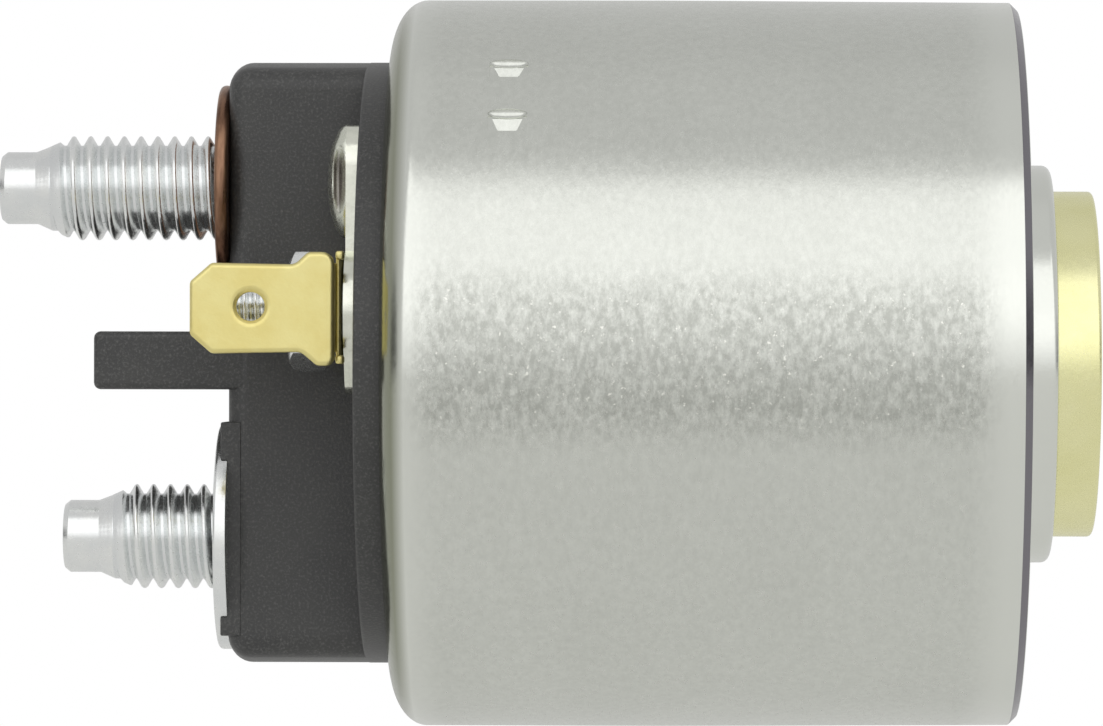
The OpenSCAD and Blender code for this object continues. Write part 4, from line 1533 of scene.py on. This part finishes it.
@dataclass
class ControlTerminal:
    """Push-on spade with its stud, nut and lock plate, over the tinned strap with its solder dome.

    Each of the blade's two edges is its half width, where it starts to widen, where that ends, and its half
    width at the root. The latching hole's dish is points of depth, added radius and rounding. The solder's
    wave is its angle for each millimetre of height, the angle where it starts, and its swing.
    """

    centre: Pair = (-12.0, 3.95)
    stud_centre: Pair = (-12.0, 3.67)
    ledge: float = -48.0
    strap: float = -49.0
    lock: float = -49.5
    foot: float = -50.3
    hole_play: float = 0.1
    stud_tip: float = -58.5
    stud_r: float = 2.45
    stud_root_r: float = 2.08
    stud_pitch: float = 0.8
    stud_turns: float = 11.0
    stud_first: float = 0.5
    stud_slope: float = 0.6
    stud_bright_top: float = 0.1
    stud_head: Pair = (-41.5, -43.4)
    stud_head_r: float = 4.2
    stud_shank_r: float = 3.0
    nut_flats: float = 7.75
    nut_h: float = 2.8
    nut_turn: float = -12.0
    nut_face: float = 0.95
    nut_chamfer: float = 30.0
    nut_play: float = 0.05
    nut_sink: float = 0.4
    nut_mouth: Pair = (0.1, 0.5)
    nut_edge: float = 0.08
    blade_front: float = -18.4
    blade_back: float = -17.6
    blade_tip: float = -59.88
    edges: tuple[tuple[float, float, float, float], ...] = (
        (3.18, -52.35, -51.4, 3.97), (3.32, -51.9, -50.75, 4.2))
    tip_chamfer: Pair = (1.56, 1.36)
    widening: float = 0.1
    corner_r: tuple[float, ...] = (0.5, 0.5, 0.9, 0.6, 0.95)
    edge_r: float = 0.36
    foot_half: float = 3.2
    foot_back: float = -7.9
    foot_edge: float = 0.1
    foot_gap: float = 0.005
    hole_x: float = -55.53
    hole_rise: float = 0.05
    hole_r: float = 1.025
    dish: tuple[Triple, ...] = ((-0.1, 0.75, 0.0), (0.12, 0.22, 0.15), (0.3, 0.0, 0.15))
    plate_half: float = 4.05
    plate_front: float = 4.9
    plate_t: float = 0.35
    plate_gap: float = 0.02
    plate_edge: float = 0.15
    tab_w: float = 0.62
    tab_front: float = 5.5
    tab_back: float = 4.1
    tab_gap: float = 0.12
    tab_edge: float = 0.18
    strap_upper: Pair = (-10.3, 14.3)
    strap_lower: Pair = (-12.0, 0.7)
    strap_half: float = 3.0
    strap_edge: float = 0.28
    lug_r: float = 4.6
    solder: Pair = (-10.3, 13.15)
    solder_len: float = 8.3
    solder_w: float = 5.4
    solder_h: float = 1.45
    solder_narrow: float = 0.1
    solder_wave: Triple = (1.7, 0.6, 0.16)
    hollow: Triple = (-49.5, -12.6, 13.3)
    hollow_size: Triple = (0.52, 1.4, 2.6)
    hollow_deep: float = 0.9

    def stud_hole(self, start: float, end: float) -> Object:
        """Makes the cutter of a hole for the stud through a sheet.

        Args:
            start: Station of the sheet's outer face.
            end: Station of its inner face.

        Returns:
            The cutter.
        """
        return bar("stud_hole_tool", self.stud_centre, self.stud_r + self.hole_play, start - OVERRUN,
                   end + OVERRUN, 48)

    def make_stud(self, finishes: Finishes) -> None:
        """Makes the control stud, with its thread showing through the spade's hole.

        Args:
            finishes: The part's finishes.
        """
        head_from, head_to = self.stud_head
        root_r, shank_r, head_r = self.stud_root_r, self.stud_shank_r, self.stud_head_r
        stud = turned("control_stud_body", fillet([
            (head_from, 0.0, 0.0), (head_from, head_r, 0.2), (head_to, head_r, 0.1), (head_to, shank_r, 0.1),
            (self.ledge, shank_r, 0.1), (self.ledge, root_r, 0.1), (self.stud_tip, root_r, 0.3),
            (self.stud_tip, 0.0, 0.0)]), self.stud_centre, 64)
        ridge = thread("control_thread", self.stud_centre, self.stud_tip + self.stud_first, self.stud_turns,
                       self.stud_pitch, (root_r, self.stud_r),
                       (self.stud_tip - OVERRUN, root_r, self.stud_slope))
        zinc = finishes.zinc("Bright_zinc_control_stud", self.stud_centre, root_r,
                             self.stud_r - self.stud_bright_top)
        hand_in(smooth(joined(stud, ridge), 34), Body.HOUSING, "zinc_stud", zinc, "control_stud")

    def make_nut(self, finishes: Finishes) -> None:
        """Makes the hex nut: a six-sided bar whose corners are turned off at both faces.

        Args:
            finishes: The part's finishes.
        """
        y, z = self.stud_centre
        corner = self.nut_flats / math.sqrt(3)
        top, bore_r = self.foot - self.nut_h, self.stud_r + self.nut_play
        mouth, mouth_r = top - self.nut_mouth[0], self.stud_r + self.nut_mouth[1]
        hexagon = [(y + corner * math.sin(a), z + corner * math.cos(a))
                   for a in (math.radians(60 * k + self.nut_turn) for k in range(6))]
        nut = extruded("hex_nut", hexagon, Plane.YZ_ALONG_X, top - OVERRUN, self.foot + OVERRUN)
        face, out = self.nut_face * self.nut_flats / 2, 2 * OVERRUN
        drop = math.tan(math.radians(self.nut_chamfer)) * out
        carve(nut, turned("nut_tool", [
            (self.foot, 0.0), (self.foot, face), (self.foot - drop, face + out), (top + drop, face + out),
            (top, face), (top, 0.0)], self.stud_centre, 96), how=Carve.BOUND)
        carve(nut, turned("nut_bore", [
            (self.foot + OVERRUN, 0.0), (self.foot + OVERRUN, bore_r), (top + self.nut_sink, bore_r),
            (mouth, mouth_r), (mouth, 0.0)], self.stud_centre, 64))
        soften(nut, self.nut_edge, 2, 28)
        zinc = finishes.zinc("Zinc_plated_nut", self.stud_centre)
        hand_in(smooth(nut, 25), Body.HOUSING, "zinc_stud", zinc, "control_nut")

    def blade_outline(self) -> Outline:
        """Draws the blade from its chamfered tip to its wider root.

        Returns:
            The closed outline, in X and Z.
        """
        length, width = self.tip_chamfer
        sides: list[list[Triple]] = []
        for half, start, end, root in self.edges:
            places = ((self.blade_tip, half - width), (self.blade_tip + length, half),
                      (start, half - self.widening), (end, root), (self.lock, root))
            sides.append([(x, w, r) for (x, w), r in zip(places, self.corner_r)])
        corners = sides[0] + [(x, -w, r) for x, w, r in reversed(sides[1])]
        return [(x, self.centre[1] + w) for x, w in fillet(corners, steps=6, closed=True)]

    def latching_hole(self) -> Object:
        """Makes the cutter of the blade's dished hole: turned along X, then laid along Y.

        Returns:
            The cutter.
        """
        front, end, r = self.blade_front, self.blade_back + OVERRUN, self.hole_r
        dish = [(front + depth, r + more, rounding) for depth, more, rounding in self.dish]
        hole = turned("hole_tool", fillet(
            [(dish[0][0], 0.0, 0.0), *dish, (end, r, 0.0), (end, 0.0, 0.0)]), steps=64)
        rise = self.centre[1] + self.hole_rise
        for vertex in hole.data.vertices:
            vertex.co = Vector((vertex.co.y + self.hole_x * MM, vertex.co.x, vertex.co.z + rise * MM))
        pick(hole)
        edit_all()
        face_outwards()
        return hole

    def make_spade(self, finishes: Finishes) -> None:
        """Makes the spade: a blade with wide rounded edges on its foot, with a dished latching hole.

        Args:
            finishes: The part's finishes.
        """
        z = self.centre[1]
        spade = soften(extruded("spade_tab", self.blade_outline(), Plane.XZ_ALONG_Y, self.blade_front,
                                self.blade_back), self.edge_r, 5, 50)
        foot = block("spade_foot", (self.foot, self.blade_front + self.edge_r, z - self.foot_half),
                     (self.lock - self.foot_gap, self.foot_back, z + self.foot_half), self.foot_edge, 2)
        carve(spade, foot, how=Carve.JOIN)
        carve(spade, self.latching_hole(), self.stud_hole(self.foot, self.lock))
        hand_in(smooth(spade, 30, True), Body.HOUSING, "brass", finishes.blade, "spade_terminal")

    def make_plate(self, finishes: Finishes) -> None:
        """Makes the lock plate, whose two front corners are bent down over the strap.

        Args:
            finishes: The part's finishes.
        """
        y, z = self.centre
        outer = self.lock + self.plate_gap
        plate = block("brass_lock_plate", (outer, y - self.plate_front, z - self.plate_half),
                      (self.lock + self.plate_t, self.foot_back, z + self.plate_half), self.plate_edge, 3)
        for low in (-self.plate_half, self.plate_half - self.tab_w):
            tab = block("tab", (outer, y - self.tab_front, z + low), (
                self.strap + self.tab_gap, y - self.tab_back, z + low + self.tab_w), self.tab_edge, 3)
            carve(plate, tab, how=Carve.JOIN)
        carve(plate, self.stud_hole(self.lock, self.strap))
        hand_in(smooth(plate, 35, True), Body.HOUSING, "brass", finishes.blade, "lock_plate")

    def make_strap(self, finishes: Finishes) -> None:
        """Makes the tinned strap: a round lug on the stud, an arm up to the coil's end and a short one down.

        Args:
            finishes: The part's finishes.
        """
        strap = bar("tinned_lead_strap", self.stud_centre, self.lug_r, self.strap, self.ledge, 72)
        ends = (self.strap_upper, self.strap_lower)
        carve(strap, *(bar("strap_end", end, self.strap_half, self.strap, self.ledge, 72) for end in ends),
              how=Carve.JOIN)
        for y, z in ends:
            low, high = sorted((self.stud_centre[1], z))
            carve(strap, block("strap_arm", (self.strap, y - self.strap_half, low),
                               (self.ledge, y + self.strap_half, high)), how=Carve.JOIN)
        carve(strap, self.stud_hole(self.strap, self.ledge))
        soften(strap, self.strap_edge, 4, 40)
        hand_in(smooth(strap, 30, True), Body.HOUSING, "tinned_metal", finishes.tin, "lead_strap")

    def make_solder(self, finishes: Finishes) -> None:
        """Makes the solder dome: a flattened drop whose foot wets the strap, hollow where it shrank.

        Args:
            finishes: The part's finishes.
        """
        y, z = self.solder
        dome = ball("solder_dome", (self.strap, y, z),
                    (self.solder_h, self.solder_w / 2, self.solder_len / 2), 96, 64)
        edit_all()
        bpy.ops.mesh.bisect(plane_co=mm(self.strap, y, z), plane_no=(1, 0, 0), use_fill=True,
                            clear_outer=True)
        bpy.ops.object.mode_set(mode="OBJECT")
        wave, phase, lean = self.solder_wave
        for vertex in dome.data.vertices:
            height = (self.strap - vertex.co.x / MM) / self.solder_h
            lift = lean * math.sin(wave * (vertex.co.z / MM - z) + phase) * max(0.0, height) ** 2
            vertex.co.y = (y + (vertex.co.y / MM - y) * (1 - self.solder_narrow * height) + lift) * MM
            away = [(part / MM - middle) / half for part, middle, half in zip(
                vertex.co, self.hollow, self.hollow_size)]
            vertex.co.y += self.hollow_deep * max(0.0, 1 - sum(part ** 2 for part in away)) * MM
        hand_in(smooth(dome, 50), Body.HOUSING, "tinned_metal", finishes.solder, "solder_joint")

    def make(self, finishes: Finishes) -> None:
        """Makes and dresses the whole terminal.

        Args:
            finishes: The part's finishes.
        """
        for step in (self.make_stud, self.make_nut, self.make_spade, self.make_plate, self.make_strap,
                     self.make_solder):
            step(finishes)


# Studio


@dataclass
class Studio:
    """Camera at the photograph's angle inside a light tent, over a pale floor.

    The tent's front is one tall soft panel. Its table gives the panel's brightness by the angle above the
    horizon, with white paper in full light as 1. A second table gives the rest of the tent.
    """

    camera_place: Triple = (-24.1, -460.0, 0.0)
    camera_turn: float = 1.28
    camera_roll: float = -0.12
    lens: float = 201.9
    sensor: float = 36.0
    sight: Pair = (10.0, 20000.0)
    floor_low: Triple = (-5000.0, -5000.0, -170.0)
    floor_high: Triple = (5000.0, 1400.0, -160.0)
    floor_edge: float = 4.0
    panel: tuple[Pair, ...] = (
        (-19.0, 0.68), (-16.0, 0.63), (-14.0, 0.57), (-10.0, 0.55), (-6.0, 0.65), (-2.0, 0.79), (3.0, 0.89),
        (8.0, 1.03), (13.0, 1.15), (18.0, 1.2), (24.0, 1.2), (32.0, 1.15), (57.0, 1.15), (61.5, 0.64),
        (69.0, 0.585), (80.0, 0.61), (90.0, 0.61),
    )
    panel_edge: float = 0.72
    panel_fade: Pair = (0.04, -0.06)
    tent: tuple[Pair, ...] = ((-30.0, 0.62), (12.0, 0.64), (35.0, 0.58), (65.0, 0.56), (90.0, 0.61))
    side_from: float = 0.945
    side_to: float = 1.0
    side_dark: float = 0.72

    def make_camera(self) -> None:
        """Makes the camera, level and a little turned towards the studs."""
        data = bpy.data.cameras.new("photo_camera")
        data.lens = self.lens
        data.sensor_width = self.sensor
        data.clip_start, data.clip_end = mm(*self.sight)
        camera = bpy.data.objects.new("photo_camera", data)
        camera.location = mm(*self.camera_place)
        camera.rotation_euler = [math.radians(a) for a in (90, self.camera_roll, self.camera_turn)]
        bpy.context.scene.collection.objects.link(camera)
        bpy.context.scene.camera = camera

    def by_height(self, tree: NodeTree, height: NodeSocket, table: tuple[Pair, ...]) -> NodeSocket:
        """Turns a table of brightness by angle above the horizon into a ramp.

        Args:
            tree: The world's node tree.
            height: The direction's Z part.
            table: Pairs of angle in degrees and brightness.

        Returns:
            The brightness for the direction.
        """
        # A ramp holds 0 to 1 only, so the brightness goes in at half its value
        most = 2.0
        ramp = add_node(tree, "ShaderNodeValToRGB", inputs={0: ranged(tree, height, -1.0, 1.0)})
        steps = ramp.color_ramp.elements
        while len(steps) < len(table):
            steps.new(0.5)
        for step, (angle, light) in zip(steps, table):
            step.position = (math.sin(math.radians(angle)) + 1) / 2
            step.color = (light / most, light / most, light / most, 1)
        return product(tree, ramp.outputs[0], most)

    def make_world(self) -> None:
        """Makes the tent: white to the camera, and to the part a bright front, grey walls and dark sides."""
        world = bpy.data.worlds.new("light_tent")
        world.use_nodes = True
        tree = world.node_tree
        tree.nodes.clear()
        x, y, z = parts_of(tree, add_node(tree, "ShaderNodeTexCoord").outputs["Generated"])
        aside = calc(tree, "ABSOLUTE", x)
        ahead = calc(tree, "MULTIPLY_ADD", aside, self.panel_edge, y)
        in_front = ranged(tree, ahead, *self.panel_fade, soft=True)
        light = add_node(tree, "ShaderNodeMix", {"data_type": "FLOAT"}, {
            0: in_front, 2: self.by_height(tree, z, self.tent), 3: self.by_height(tree, z, self.panel)})
        open_side = ranged(tree, aside, self.side_from, self.side_to, 1.0, 1.0 - self.side_dark, soft=True)
        white = (1.0, 1.0, 1.0, 1.0)
        tent, seen = (
            add_node(tree, "ShaderNodeBackground", inputs={"Color": white, "Strength": strength})
            for strength in (product(tree, light.outputs[0], open_side), 1.0))
        mix = add_node(tree, "ShaderNodeMixShader", inputs={
            0: add_node(tree, "ShaderNodeLightPath").outputs["Is Camera Ray"], 1: tent.outputs[0],
            2: seen.outputs[0]})
        add_node(tree, "ShaderNodeOutputWorld", inputs={0: mix.outputs[0]})
        bpy.context.scene.world = world

    def make_floor(self) -> None:
        """Makes the pale floor, well below the part."""
        floor = block("studio_floor", self.floor_low, self.floor_high, self.floor_edge, 2)
        # Painted board: pale and matt
        finish = Finish("Pale_studio_board", "F3F3F1", "F0F0EE", 0.0, (0.7, 0.8), 2.0, 60.0, 0.01).build()
        floor.data.materials.append(finish)

    def make(self) -> None:
        """Makes the whole studio and sets the plain colour view."""
        self.make_camera()
        self.make_world()
        self.make_floor()
        bpy.context.scene.view_settings.view_transform = "Standard"


def main() -> None:
    """Builds the studio and every sub-assembly, in the order a maker would put them together."""
    logging.basicConfig(level=logging.INFO, format="%(name)s %(message)s")
    Studio().make()
    finishes = Finishes()
    Case().make(finishes)
    Plunger().make(finishes)
    Coil().make(finishes)
    Contacts().make(finishes)
    Cap().make(finishes)
    CableStud("battery", "battery_stud", 12.95, -75.3, 7.65, 1.0, -72.49, 11.3, WasherMetal.COPPER,
              rim_edges=(0.48, 0.4)).make(finishes)
    CableStud("motor", "motor_stud", -12.95, -70.55, 8.38, 1.0, -67.75, 7.2, WasherMetal.STEEL).make(finishes)
    ControlTerminal().make(finishes)


if __name__ == "__main__":
    main()
